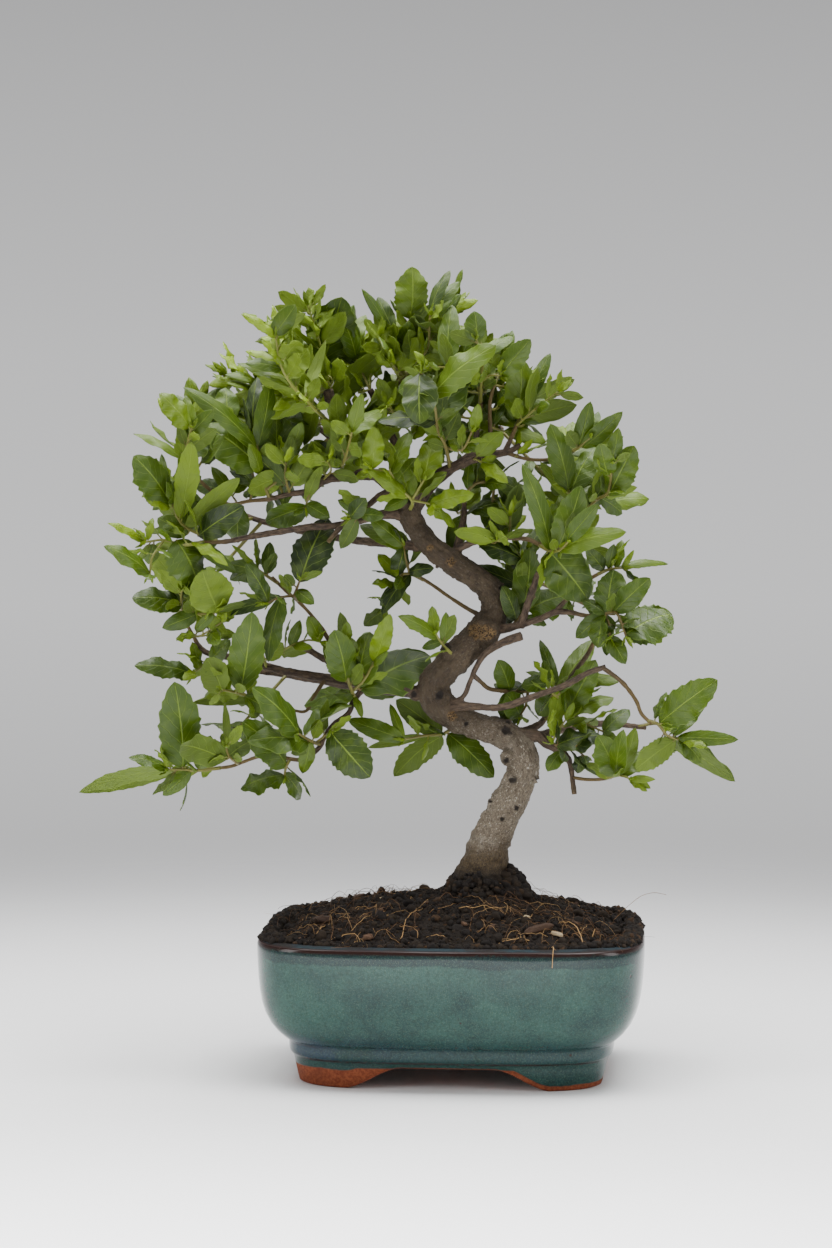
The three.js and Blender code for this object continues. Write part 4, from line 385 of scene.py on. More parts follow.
    [[[54, 190.5, 9.6], [51, 193.5, 15], [46, 196, 17]]],
    [[53, 192, 70, 216, 11, 6], [47, 195, 45, 206, 5, 5], [50, 194, 36, 200, 4, 6],
     [52, 193, 43, 216, 6, 4]]],
  ["right_inner_low",
    [[[24, 190.4, 2.3], [30, 190, 15], [37, 190, 23], [45, 191, 31], [50, 189.5, 32]],
     [[37, 190, 23], [36, 183, 24], [33, 178, 24]]],
    [[28, 190, 22, 206, 11, 5], [27, 190, 27, 174, 11, 5], [36, 190, 20, 194, 8, 1],
     [37, 191, 46, 200, 8, 2], [33, 178, 26, 189, 12, 4], [50, 189, 42, 178, 12, 3]]],
  ["right_far",
    [[[97, 175.5, -27.6], [102, 174, -31], [107, 168, -33], [113, 166, -34]]],
    [[103, 174, 132, 196, 17, 5, "t"], [110, 168, 127, 187, 8, 4], [112, 167, 142.5, 166, 8, 5],
     [108, 167, 141, 145, 9, 4, "u"], [111, 166, 91, 151, 12, 5, "ut"],
     [113, 166, 124, 154, 8, 4]]],
  ["right_low",
    [[[76, 146.6, -16], [83, 148, -20], [88, 146.5, -22]]],
    [[81, 148, 72, 168, 14, 5, "t"], [82, 148, 85, 171, 9, 5], [83, 148, 91, 172, 9, 6],
     [84, 148, 94, 160, 11, 6], [88, 146, 101, 146, 4, 7], [88, 146, 97, 140, 4, 7],
     [79, 147, 65, 154, 6, 6, "u"]]],
  ["right_low_in",
    [[[54, 159.3, -8], [54, 161, -13], [50, 164, -16]], [[54, 161, -13], [60, 162, -17],
     [65, 158, -18]]],
    [[54, 160, 47, 150, 8, 4], [51, 163, 74, 168, 12, 1], [64, 158, 62, 149, 7, 0]]],
]

# Shoots on the far side: each one's name, the shoot that it lies behind, how much deeper, and
# where it leaves the wood
FAR_SHOOTS = [
  ["far_crown_tip", "crown_tip_left", 48, [-69, 322.5, 53]],
  ["far_crown_big", "crown_left_big", 52, [-60, 315, 46]],
  ["far_crown_top", "crown_top", 40, [-44, 301.5, 31.5]],
  ["far_crown_right", "crown_top_right", 42, [14, 313.5, 41]],
  ["far_crown_centre", "crown_centre", 32, [-2, 300.5, 26]],
  ["far_right_up", "right_up_inner", 49, [23, 321, 47]],
  ["far_left_upper", "left_upper", 52, [-62, 317, 48]],
  ["far_left_outer", "left_outer_mid", 40, [-100, 276.8, 52.8]],
  ["far_left_mid", "left_mid", 54, [-96, 275, 51]],
  ["far_left_low", "left_low_a", 50, [-101, 200, 56.6]],
  ["far_left_bottom", "left_bottom", 40, [-84, 198.3, 52.4]],
  ["far_centre_left", "centre_left", 36, [-50, 192.5, 36]],
  ["far_mid_right", "mid_right_a", 40, [52, 256, 42]],
  ["far_right_low", "right_mid_low", 42, [40, 246, 30]],
  ["far_right_far", "right_far", 32, [92, 172.5, 50]],
]

# Leafy sprigs that fill the crown between the shoots: x and z of each one's tip, and its tone
SPRIGS = [
    (-91, 369, 8), (-81, 359, 8), (-91, 350, 7), (-57, 371, 5), (-46, 360, 7), (-37, 367, 6),
    (-31, 354, 8), (-14, 357, 6), (0, 367, 5), (14, 358, 5), (28, 353, 5), (0, 347, 6),
    (14, 340, 5), (28, 334, 5), (-14, 337, 6), (-32, 333, 6), (-46, 342, 7), (-63, 348, 7),
    (-81, 340, 7), (-98, 341, 7), (-113, 347, 7), (-127, 333, 6), (-115, 323, 5), (-98, 323, 5),
    (-74, 323, 5), (-56, 319, 7), (-39, 319, 7), (-21, 319, 8), (0, 323, 5), (21, 323, 5),
    (42, 330, 5), (52, 340, 6), (57, 309, 5), (32, 309, 5), (14, 305, 5), (-5, 305, 7),
    (-28, 305, 8), (-45, 305, 7), (-63, 305, 5), (-84, 305, 4), (-105, 305, 4), (-122, 309, 4),
    (-136, 323, 6), (-151, 295, 5), (-133, 288, 5), (-113, 291, 4), (-94, 295, 4), (75, 295, 5),
    (57, 291, 5), (50, 277, 5), (64, 270, 5), (28, 278, 5), (22, 270, 4), (14, 281, 4),
    (0, 284, 5), (36, 259, 5), (28, 251, 4), (36, 238, 3), (22, 266, 4), (50, 252, 5),
    (-73, 383, 8), (0, 383, 5), (-21, 376, 6), (-105, 330, 6), (-66, 334, 6), (-49, 330, 7),
    (-5, 330, 5), (9, 315, 4), (-70, 295, 4), (-79, 352, 8), (35, 344, 5), (18, 348, 5),
    (-21, 348, 7), (49, 190, 5), (63, 196, 5), (56, 176, 6), (-116, 225, 5),
]

# The solid of a far shoot holds only so many leaves, the widest ones
FAR_LEAVES = 4
# The smallest leaf that the solids hold: its seen length times its width
SMALLEST = 105
# Leaves in turn lean away from the viewer, as a share of their length, and roll, in degrees
TIP_LEANS = [-0.45, 0.32, -0.15, 0.55, -0.6, 0.1, 0.42, -0.28]
ROLLS = [12, -18, 24, -8, 16, -26, 6, -14]
# How far a leaf turns its upper side to the sky, in degrees
SKYWARD = 30
# Shoots in turn lean in depth by these shares of their reach, up to a limit
SWAYS = [-0.8, 0.35, -0.45, -1.1, 0.6, -0.65, 0.1]
SWAY_REACH = 40
# No petiole leaves a stretch of stem nearer to its ends than this share of it
SUNK = 0.07
# The bends that a leaf may have: more lean in mm, and more roll in degrees
BENDS = [
    (0, 0), (-6, 0), (6, 0), (0, 20), (0, -20), (-12, 10), (12, -10), (-18, 0), (18, 0),
    (-9, 35), (9, -35), (-26, 15), (26, -15), (-34, 0), (34, 0),
]
# A leaf solid's half outline: places along it and half widths, as shares of its own
LARGE_LEAF = [(0.16, 0.7), (0.4, 1), (0.68, 0.74)]
TOOTHED_LEAF = [(0.3, 1), (0.46, 0.74), (0.66, 0.82)]
MEDIUM_LEAF = [(0.26, 0.9), (0.6, 0.84)]
SMALL_LEAF = [(0.4, 1)]
# A blade's arch as a share of its length, and its fold and its waves as shares of its half width
ARCH = 0.09
FOLD = 0.2
WAVE = 0.16
# How thick a leaf's solid is
SOLID_BLADE = 0.7
# Side veins on each half of a leaf
SIDE_VEINS = 6.5


def clamp(value, low=0.0, high=1.0):
    return max(low, min(high, value))


def eased(value):
    """A share from 0 to 1 that starts and ends gently."""
    t = clamp(value)
    return t * t * (3 - 2 * t)


def seen(point):
    """The place in space, in mm, of a point that is drawn as x, z, y."""
    x, z, y = point[:3]
    k = (y - EYE.y) / -EYE.y
    return TURN @ Vector((EYE.x + (x - EYE.x) * k, y, EYE.z + (z - EYE.z) * k)) + SPREAD_MIDDLE


def hue(red, green, blue):
    """A colour that is given as it looks on a screen, from 0 to 255, for a shader."""
    parts = [c / 255 for c in (red, green, blue)]
    return tuple(c / 12.92 if c <= 0.04045 else ((c + 0.055) / 1.055) ** 2.4 for c in parts)


class Value:
    """A number, colour or vector socket. Arithmetic on a number adds Math nodes to its tree."""

    def __init__(self, finish, socket):
        self.finish = finish
        self.socket = socket

    def math(self, operation, *others):
        inputs = dict(enumerate((self, *others)))
        return self.finish.add("ShaderNodeMath", {"operation": operation}, inputs)

    def __add__(self, other):
        return self.math("ADD", other)

    def __sub__(self, other):
        return self.math("SUBTRACT", other)

    def __rsub__(self, other):
        return self.finish.add("ShaderNodeMath", {"operation": "SUBTRACT"}, {0: other, 1: self})

    def __mul__(self, other):
        return self.math("MULTIPLY", other)

    def __gt__(self, edge):
        return self.math("GREATER_THAN", edge)

    __radd__ = __add__
    __rmul__ = __mul__

    def ramp(self, low, high):
        """0 below low and 1 above high, with a smooth rise, or a fall where low is the greater."""
        settings = {"interpolation_type": "SMOOTHSTEP"}
        flip = low > high
        ends = {1: min(low, high), 2: max(low, high), 3: float(flip), 4: float(not flip)}
        return self.finish.add("ShaderNodeMapRange", settings, {0: self, **ends})

    def near(self, middle, reach):
        """1 at the middle value, falling to 0 at a reach to either side."""
        return (self - middle).math("ABSOLUTE").ramp(reach, 0)


def feed(tree, socket, value):
    """Links a value or another socket to a socket, or sets what the socket holds."""
    source = value.socket if isinstance(value, Value) else value
    if isinstance(source, bpy.types.NodeSocket):
        tree.links.new(source, socket)
    elif isinstance(source, tuple) and socket.type == "RGBA":
        socket.default_value = (*source[:3], 1)
    else:
        socket.default_value = source


def add_node(tree, kind, settings=None, inputs=None):
    """A node of a type, with its settings and then what its sockets hold or are linked to."""
    node = tree.nodes.new(kind)
    for name, value in (settings or {}).items():
        setattr(node, name, value)
    for name, value in (inputs or {}).items():
        feed(tree, node.inputs[name], value)
    return node


class Finish:
    """The node material of one surface."""

    def __init__(self, name, **constants):
        self.material = bpy.data.materials.new(name)
        self.material.use_nodes = True
        self.tree = self.material.node_tree
        self.shader = self.tree.nodes["Principled BSDF"]
        for socket, value in constants.items():
            self.shader.inputs[socket.replace("_", " ")].default_value = value

    def add(self, kind, settings=None, inputs=None, output=0):
        return Value(self, add_node(self.tree, kind, settings, inputs).outputs[output])

    def feed(self, name, value):
        feed(self.tree, self.shader.inputs[name], value)

    def place(self):
        """Object coordinates in mm."""
        where = self.add("ShaderNodeTexCoord", output="Object")
        settings = {"operation": "SCALE"}
        return self.add("ShaderNodeVectorMath", settings, {0: where, "Scale": 1 / MM})

    def split(self, vector):
        node = add_node(self.tree, "ShaderNodeSeparateXYZ", None, {0: vector})
        return [Value(self, out) for out in node.outputs]

    def scaled(self, vector, factors):
        return self.add("ShaderNodeVectorMath", {"operation": "MULTIPLY"}, {0: vector, 1: factors})

    def attribute(self, name, output="Fac"):
        return self.add("ShaderNodeAttribute", {"attribute_name": name}, output=output)

    def noise(self, vector, scale, detail=2.0, rough=0.5, distortion=0.0):
        """Soft random patches from 0 to 1, with so many to a unit of the vector."""
        return self.add("ShaderNodeTexNoise", None, {
            "Vector": vector, "Scale": scale, "Detail": detail, "Roughness": rough,
            "Distortion": distortion,
        })

    def cells(self, vector, scale, output="Distance"):
        return self.add("ShaderNodeTexVoronoi", None, {"Vector": vector, "Scale": scale}, output)

    def blend(self, factor, first, second, how="MIX"):
        """The first colour where the factor is 0 and the second where it is 1."""
        settings = {"data_type": "RGBA", "blend_type": how}
        return self.add("ShaderNodeMix", settings, {0: factor, 6: first, 7: second}, 2)

    def finish(self, color, rough=None, height=None, depth=0.1, strength=1.0):
        """Links the colour, the roughness and a relief of so many mm, and gives the material."""
        self.feed("Base Color", color)
        if rough is not None:
            self.feed("Roughness", rough)
        if height is not None:
            inputs = {"Height": height, "Distance": depth * MM, "Strength": strength}
            self.feed("Normal", self.add("ShaderNodeBump", None, inputs))
        return self.material


class Shape:
    """Vertices in mm, faces and values on the vertices, gathered into one mesh."""

    def __init__(self, **kinds):
        self.points = []
        self.faces = []
        self.kinds = kinds
        self.values = {name: [] for name in kinds}

    def add(self, points, faces, **values):
        start = len(self.points)
        self.points.extend(points)
        self.faces.extend(tuple(start + i for i in face) for face in faces)
        for name, kept in self.values.items():
            given = values[name]
            kept.extend(given if isinstance(given, list) else [given] * len(points))

    def mesh(self, name):
        mesh = bpy.data.meshes.new(name)
        mesh.from_pydata([tuple(c * MM for c in p) for p in self.points], [], self.faces)
        for value, kind in self.kinds.items():
            layer = mesh.attributes.new(value, kind, "POINT")
            kept = np.array(self.values[value], np.float32).ravel()
            layer.data.foreach_set("vector" if kind == "FLOAT_VECTOR" else "value", kept)
        mesh.shade_smooth()
        return mesh

    def piece(self, name, material):
        return new_piece(name, self.mesh(name), material)


def new_piece(name, mesh, material=None):
    piece = bpy.data.objects.new(name, mesh)
    bpy.context.scene.collection.objects.link(piece)
    if material:
        mesh.materials.clear()
        mesh.materials.append(material)
    return piece


def keep(piece, slot, *nodes):
    """Fixes a finished piece to the part, for the nodes that it stands for."""
    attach(piece, "root")
    if nodes:
        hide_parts(*nodes)


def baked(piece, name=None):
    """The piece's mesh with its modifiers applied, as a new mesh."""
    graph = bpy.context.evaluated_depsgraph_get()
    mesh = bpy.data.meshes.new_from_object(piece.evaluated_get(graph))
    mesh.name = name or piece.name
    return mesh


def outward(mesh):
    """Turns the faces of a closed mesh outwards."""
    work = bmesh.new()
    work.from_mesh(mesh)
    bmesh.ops.recalc_face_normals(work, faces=work.faces)
    work.to_mesh(mesh)
    work.free()


def smooth_line(line, step):
    """Points along a smooth curve through the given ones, about a step apart, with all values."""
    points = [np.array(p, float) for p in line]
    ends = [2 * points[0] - points[1], *points, 2 * points[-1] - points[-2]]
    curve = []
    for a, b, c, d in zip(ends, ends[1:], ends[2:], ends[3:]):
        count = max(1, round(float(np.linalg.norm((c - b)[:3])) / step))
        for i in range(count):
            t = i / count
            curve.append(
                0.5 * (2 * b + (c - a) * t + (2 * a - 5 * b + 4 * c - d) * t * t
                       + (3 * b - a - 3 * c + d) * t ** 3)
            )
    curve.append(points[-1])
    return curve


def frames_along(points):
    """The direction and two steady sideways directions at each point of a line."""
    found = []
    side = None
    last = len(points) - 1
    for i in range(len(points)):
        along = (points[min(i + 1, last)] - points[max(i - 1, 0)]).normalized()
        if side is None:
            side = Vector((1, 0, 0)) if abs(along.x) < 0.9 else Vector((0, 1, 0))
        side = (side - along * side.dot(along)).normalized()
        found.append((along, side, along.cross(side)))
    return found


def ring_faces(rings, count):
    """Four-cornered faces between so many rings of so many points each."""
    return [
        (r * count + k, r * count + (k + 1) % count, (r + 1) * count + (k + 1) % count,
         (r + 1) * count + k)
        for r in range(rings - 1)
        for k in range(count)
    ]


def close_ends(points, faces, count, first_height, last_height):
    """Closes the first and the last of the pot's or the soil's rings to its middle."""
    last = len(points) - count
    for start, height in ((0, first_height), (last, last_height)):
        middle = len(points)
        points.append(Vector((0, 0, height)) + SPREAD_MIDDLE)
        faces.extend((start + k, start + (k + 1) % count, middle) for k in range(count))


def tube(points, radii, sides, lumps=0.0, flat_end=False):
    """A closed round rod along points: its vertices, its faces, and each vertex's ring number."""
    rings = []
    for point, radius, (_, side, other) in zip(points, radii, frames_along(points)):
        for k in range(sides):
            t = 2 * math.pi * k / sides
            out = side * math.cos(t) + other * math.sin(t)
            swell = 1 + lumps * noise.noise(point * 0.35 + out * 1.7)
            rings.append(point + out * radius * swell)
    owners = [i for i in range(len(points)) for _ in range(sides)]
    faces = ring_faces(len(points), sides)
    faces.append(tuple(reversed(range(sides))))
    last = (len(points) - 1) * sides
    if flat_end:
        faces.append(tuple(last + k for k in range(sides)))
    else:
        tip = len(rings)
        rings.append(points[-1] + (points[-1] - points[-2]).normalized() * radii[-1] * 0.7)
        owners.append(len(points) - 1)
        faces.extend((last + k, last + (k + 1) % sides, tip) for k in range(sides))
    return rings, faces, owners


# The pot


def plan_point(turn, inset):
    """A point of the pot's outline at a plan angle, so far in from the rim's."""
    c, s = math.cos(turn), math.sin(turn)
    x = (RIM_LENGTH / 2 - inset) * math.copysign(abs(c) ** (2 / PLAN_POWER), c)
    y = (RIM_DEPTH / 2 - inset) * math.copysign(abs(s) ** (2 / PLAN_POWER), s)
    return x, y


def plan_turns(count):
    """Plan angles that space so many points evenly along the rim."""
    fine = 6000
    turns = [2 * math.pi * i / fine for i in range(fine + 1)]
    ring = [plan_point(turn, 0) for turn in turns]
    run = [0.0]
    for a, b in zip(ring, ring[1:]):
        run.append(run[-1] + math.dist(a, b))
    return list(np.interp(np.linspace(0, run[-1], count, endpoint=False), run, turns))


# The wall's section from the inside floor up, over the rim and down to the crease above the
# feet: how far in from the rim, and the height
WALL_SECTION = [
    (28, 17), (25.6, 18.4), (19, 26), (14.2, 34.5), (10.5, 43), (8.6, 54), (7.6, 62),
    (7.1, 67), (7, 69.8), (6.8, 70.8), (6.2, 71.35), (5.2, 71.5), (3.4, 71.3), (1.9, 71),
    (0.9, 70.5), (0.3, 69.7), (0, 68.4), (0, 66), (0.1, 62), (0.3, 57.5), (0.6, 52),
    (1.1, 46.5), (2.1, 40), (3.5, 35), (5.8, 30), (8.8, 25.8), (11.8, 22.8), (13.6, 21.2),
    (14.5, 20.4), (14.8, 19.6), (14.8, 18), (14.9, 16.4), (15.2, 15), (15.9, 14),
    (16.8, 13.4), (17.2, 12.9),
]
# Below the crease the rings run down the feet by shares of their height, cross their soles, and
# rise behind them, by shares of the way up to the pot's floor
FOOT_TOP = 12.9
FOOT_LINES = [0.2, 0.4, 0.6, 0.78, 0.9, 0.97, 1]
SOLE_INSETS = [21.2, 23, 25.5, 28, 30.5, 32.4]
POCKET_LINES = [(33.2, 0.2), (33.6, 0.6), (34.4, 1)]


def arch_height(x, y):
    """How far the pot's lower edge stands above the ground, at a place from its middle."""

    def rise(reach, ground, top):
        t = clamp((ground - abs(reach)) / (ground - top))
        return 0.6 * eased(t) + 0.4 * t

    return FLOOR_BOTTOM * max(rise(x, *GAP_ALONG), rise(y, *GAP_ACROSS))


def pot_rings(turns):
    """The pot's rings from the middle of its inside round to the middle of its underside, each
    with how far every point stands above the lower edge near it."""
    rings = []

    def ring(inset, height, share=1.0):
        points = []
        above = []
        for turn in turns:
            x, y = plan_point(turn, inset)
            edge = arch_height(x, y)
            z = height(edge) if callable(height) else height
            points.append(Vector((x * share, y * share, z)) + SPREAD_MIDDLE)
            above.append(z - edge)
        rings.append((points, above))

    for share in (0.3, 0.65):
        ring(WALL_SECTION[0][0], FLOOR_TOP, share)
    for inset, z in WALL_SECTION:
        ring(inset, z)
    for line in FOOT_LINES:
        sloped = 17.2 + 2.2 * line ** 1.3 + (0.9 if line == 1 else 0)
        ring(sloped, lambda edge, line=line: FOOT_TOP + (edge - FOOT_TOP) * line)
    for inset in SOLE_INSETS:
        ring(inset, lambda edge: edge)
    for inset, share in POCKET_LINES:
        ring(inset, lambda edge, share=share: edge + (FLOOR_BOTTOM - edge) * share)
    for share in (0.65, 0.3):
        ring(POCKET_LINES[-1][0], FLOOR_BOTTOM, share)
    return rings


def glaze_finish(settings):
    """Teal stoneware glaze with a darker pool under the rim, brown where it thins over edges, blue
    where it gathers at the foot, painted shade on the upward ledge above the foot, and bare clay
    below."""
    f = Finish("teal_glaze", Coat_Roughness=0.07, Specular_IOR_Level=0.2)
    at = f.place()
    x, _, z = f.split(at)
    above = f.attribute("above_edge")
    wide = f.noise(at, 0.022, 3, 0.55)
    drift = f.noise(at, 0.06, 3, 0.6)
    grain = f.noise(at, 0.75, 3, 0.65)
    speck = f.noise(at, 2.1, 2, 0.6)
    patch = (wide * 0.55 + drift * 0.45).ramp(0.38, 0.62) * 0.7 + 0.15
    color = f.blend(patch, tuple(settings.deep), tuple(settings.light))
    low = z.ramp(38, 18)
    color = f.blend(low * 0.65, color, tuple(settings.deep))
    # The glaze runs thick in a belt under the rim
    belt = (z - (drift * 5 + wide * 5 + 57.5)).ramp(-0.35, 0.5)
    color = f.blend(belt * 0.85, color, hue(10, 36, 40))
    color = f.blend(z.ramp(65, 69) * 0.6, color, hue(8, 22, 26))
    # Painted shade: the upward-facing ledge above the foot is darkened where the top light catches it
    color = f.blend(z.near(20.4, 2.2) * 0.5, color, hue(10, 34, 36))
    # Blue gathers above the foot, most of it on the left
    left = x.ramp(10, -50)
    gather = z.ramp(30, 21) * z.ramp(12, 15) * (drift * 1.4).ramp(0.45, 0.75)
    color = f.blend(gather * (left * 0.4 + 0.16), color, hue(36, 46, 74))
    color = f.blend(grain.ramp(0.35, 0.72) * 0.6, color, hue(130, 160, 140), "MULTIPLY")
    color = f.blend(speck.ramp(0.5, 0.72) * 0.26, color, hue(96, 126, 100))
    color = f.blend(f.noise(at, 1.1, 2, 0.6).ramp(0.6, 0.72) * 0.3, color, hue(16, 40, 40))
    # Brown clay shows through on the rim's edge and along the creases
    thin = z.near(69.5, 1.7) * (drift + grain * 0.6).ramp(0.5, 0.8) + z.near(70.3, 0.9) * 0.9
    crease = z.near(13.4, 1.1) * (drift + grain).ramp(0.7, 1.05)
    ledge = z.near(20.3, 1.2) * left * drift.ramp(0.4, 0.7)
    worn = (thin + crease * 0.8 + ledge * 0.6).math("MINIMUM", 0.93)
    color = f.blend(worn, color, hue(36, 18, 15))
    rim_top = f.blend(drift.ramp(0.4, 0.62), hue(34, 26, 26), hue(32, 46, 54))
    color = f.blend(z.ramp(70.4, 71) * 0.75, color, rim_top)
    # A few open pits
    chosen = f.split(f.cells(at, 0.06, "Color"))[0] > 0.5
    pits = f.cells(at, 0.06).ramp(0.06, 0.03) * chosen
    color = f.blend(pits, color, hue(34, 18, 12))
    # Bare clay: high on the left feet and a thin edge on the right ones
    bare_height = x.ramp(4, -8) * 8.0 + x.ramp(40, 52) * 1.6 + drift * 2.4
    bare = (above - bare_height).ramp(0.35, -0.35)
    under = z.ramp(FLOOR_BOTTOM + 0.25, FLOOR_BOTTOM - 0.3)
    bare = bare * under.math("MAXIMUM", above.ramp(0.8, 0.2))
    clay = f.blend(grain.ramp(0.3, 0.7), hue(96, 44, 25), hue(134, 72, 45))
    clay = f.blend(drift.ramp(0.55, 0.75) * 0.5, clay, hue(78, 38, 26))
    color = f.blend(bare, color, clay)
    f.feed("Coat Weight", (1 - bare) * z.ramp(70.6, 69.8) * 0.22)
    rough = (bare * 0.6 + z.ramp(69.9, 70.8) * 0.7 + grain * 0.05 + 0.12).math("MINIMUM", 0.85)
    height = (grain * 0.35 + wide * 2.5 + pits * -1.2) * (1 - bare) + f.noise(at, 1.6, 3) * bare
    return f.finish(color, rough, height, 0.25, 0.55)


def cut_drains(pot):
    """Two round holes through the pot's floor."""
    for x in (-DRAIN_OFFSET, DRAIN_OFFSET):
        work = bmesh.new()
        bmesh.ops.create_cone(
            work, cap_ends=True, segments=40, radius1=DRAIN_RADIUS * MM, radius2=DRAIN_RADIUS * MM,
            depth=20 * MM,
            matrix=Matrix.Translation((SPREAD_MIDDLE + Vector((x, 0, 14))) * MM),
        )
        drill = bpy.data.meshes.new("drill")
        work.to_mesh(drill)
        work.free()
        tool = new_piece("drill", drill)
        cut = pot.modifiers.new("drain", "BOOLEAN")
        cut.object = tool
        cut.solver = "EXACT"
        pot.data = baked(pot)
        pot.modifiers.clear()
        bpy.data.objects.remove(tool)


def make_pot(settings):
    turns = plan_turns(240)
    rings = pot_rings(turns)
    points = [p for ring, _ in rings for p in ring]
    for k, point in enumerate(points):
        if FLOOR_BOTTOM < point.z < 70:
            sway = noise.noise(point * 0.03) * settings.unevenness / MM
            points[k] = point + (point - SPREAD_MIDDLE).normalized() * sway
    faces = ring_faces(len(rings), len(turns))
    close_ends(points, faces, len(turns), FLOOR_TOP, FLOOR_BOTTOM)
    above = [a for _, ring in rings for a in ring] + [0.0, 0.0]
    shape = Shape(above_edge="FLOAT")
    shape.add(points, faces, above_edge=above)
    pot = shape.piece("glazed_pot", None)
    outward(pot.data)
    cut_drains(pot)
    pot.data.materials.clear()
    pot.data.materials.append(glaze_finish(settings))
    pot.data.shade_smooth()
    keep(pot, "pot_glaze", "pot")


# The soil and what lies on it


def soil_height(x, y):
    """Height of the mound at a place given from the pot's middle, as the solid has it."""
    fx = abs(x) / (RIM_LENGTH / 2 - WALL)
    fy = abs(y) / (RIM_DEPTH / 2 - WALL)
    out = min(1, (fx**PLAN_POWER + fy**PLAN_POWER) ** (1 / PLAN_POWER))
    collar = 7 * math.exp(-((x - TRUNK_FOOT[0]) ** 2 + (y - TRUNK_FOOT[1]) ** 2) / 500)
    heap = 9 * math.exp(-((x - HEAP[0]) ** 2 + (y - HEAP[1]) ** 2) / 110)
    lumps = 1.3 * math.sin(x / 7 + 1) * math.cos(y / 8) * (1 - out)
    return SOIL_EDGE + MOUND * (1 - out**2.6) + collar + heap + lumps


def clod_height(x, y):
    """Lumps and hollows of the loose surface."""
    spot = Vector((x, y, 0))
    big = noise.noise(spot * 0.11) * 1.5
    middle = noise.noise(spot * 0.32 + Vector((7, 3, 1))) * 1.3
    small = abs(noise.noise(spot * 0.8 + Vector((1, 9, 4)))) * 1.3
    return big + middle + small - 0.3


def ground(x, y):
    """A point of the loose surface, from a place given from the pot's middle."""
    return Vector((x, y, soil_height(x, y) + clod_height(x, y))) + SPREAD_MIDDLE


def peat_finish(settings):
    f = Finish("peat", Specular_IOR_Level=0.25)
    at = f.place()
    fine = f.noise(at, 1.1, 4, 0.7)
    wide = f.noise(at, 0.12, 3, 0.6)
    color = f.blend(fine.ramp(0.4, 0.75), tuple(settings.dark), tuple(settings.brown))
    color = f.blend(wide.ramp(0.5, 0.8) * 0.5, color, tuple(settings.brown))
    color = f.blend(f.noise(at, 2.4, 2).ramp(0.66, 0.76) * 0.5, color, hue(62, 45, 28))
    return f.finish(color, fine * 0.2 + 0.78, fine, 0.9)


def crumb_finish(settings):
    f = Finish("crumbs", Specular_IOR_Level=0.25)
    at = f.place()
    own = f.attribute("crumb")
    fine = f.noise(at, 1.9, 3, 0.7)
    color = f.blend(own.ramp(0.25, 0.95), tuple(settings.dark), tuple(settings.brown))
    color = f.blend(own.ramp(0.9, 1.0) * 0.6, color, hue(70, 48, 28))
    color = f.blend(fine.ramp(0.45, 0.75) * 0.6, color, hue(24, 16, 11))
    return f.finish(color, fine * 0.2 + 0.78, fine, 0.4)


def fibre_finish():
    f = Finish("coir", Specular_IOR_Level=0.3)
    own = f.attribute("straw")
    fine = f.noise(f.place(), 1.2, 2)
    color = f.blend(own.ramp(0, 0.55), hue(36, 24, 14), hue(98, 68, 38))
    color = f.blend(own.ramp(0.6, 1), color, hue(176, 140, 90))
    color = f.blend(fine.ramp(0.4, 0.8) * 0.4, color, hue(70, 48, 28))
    return f.finish(color, fine * 0.2 + 0.5)


def chip_finish():
    f = Finish("bark_chip", Specular_IOR_Level=0.3)
    at = f.place()
    own = f.attribute("pale")
    fine = f.noise(f.scaled(at, (1, 0.35, 1)), 1.4, 4, 0.7)
    color = f.blend(own.ramp(0, 0.6), hue(34, 22, 15), hue(74, 52, 35))
    color = f.blend(own.ramp(0.7, 1), color, hue(170, 152, 120))
    color = f.blend(fine.ramp(0.5, 0.75) * 0.6, color, hue(30, 20, 14))
    return f.finish(color, fine * 0.2 + 0.65, fine, 0.5)


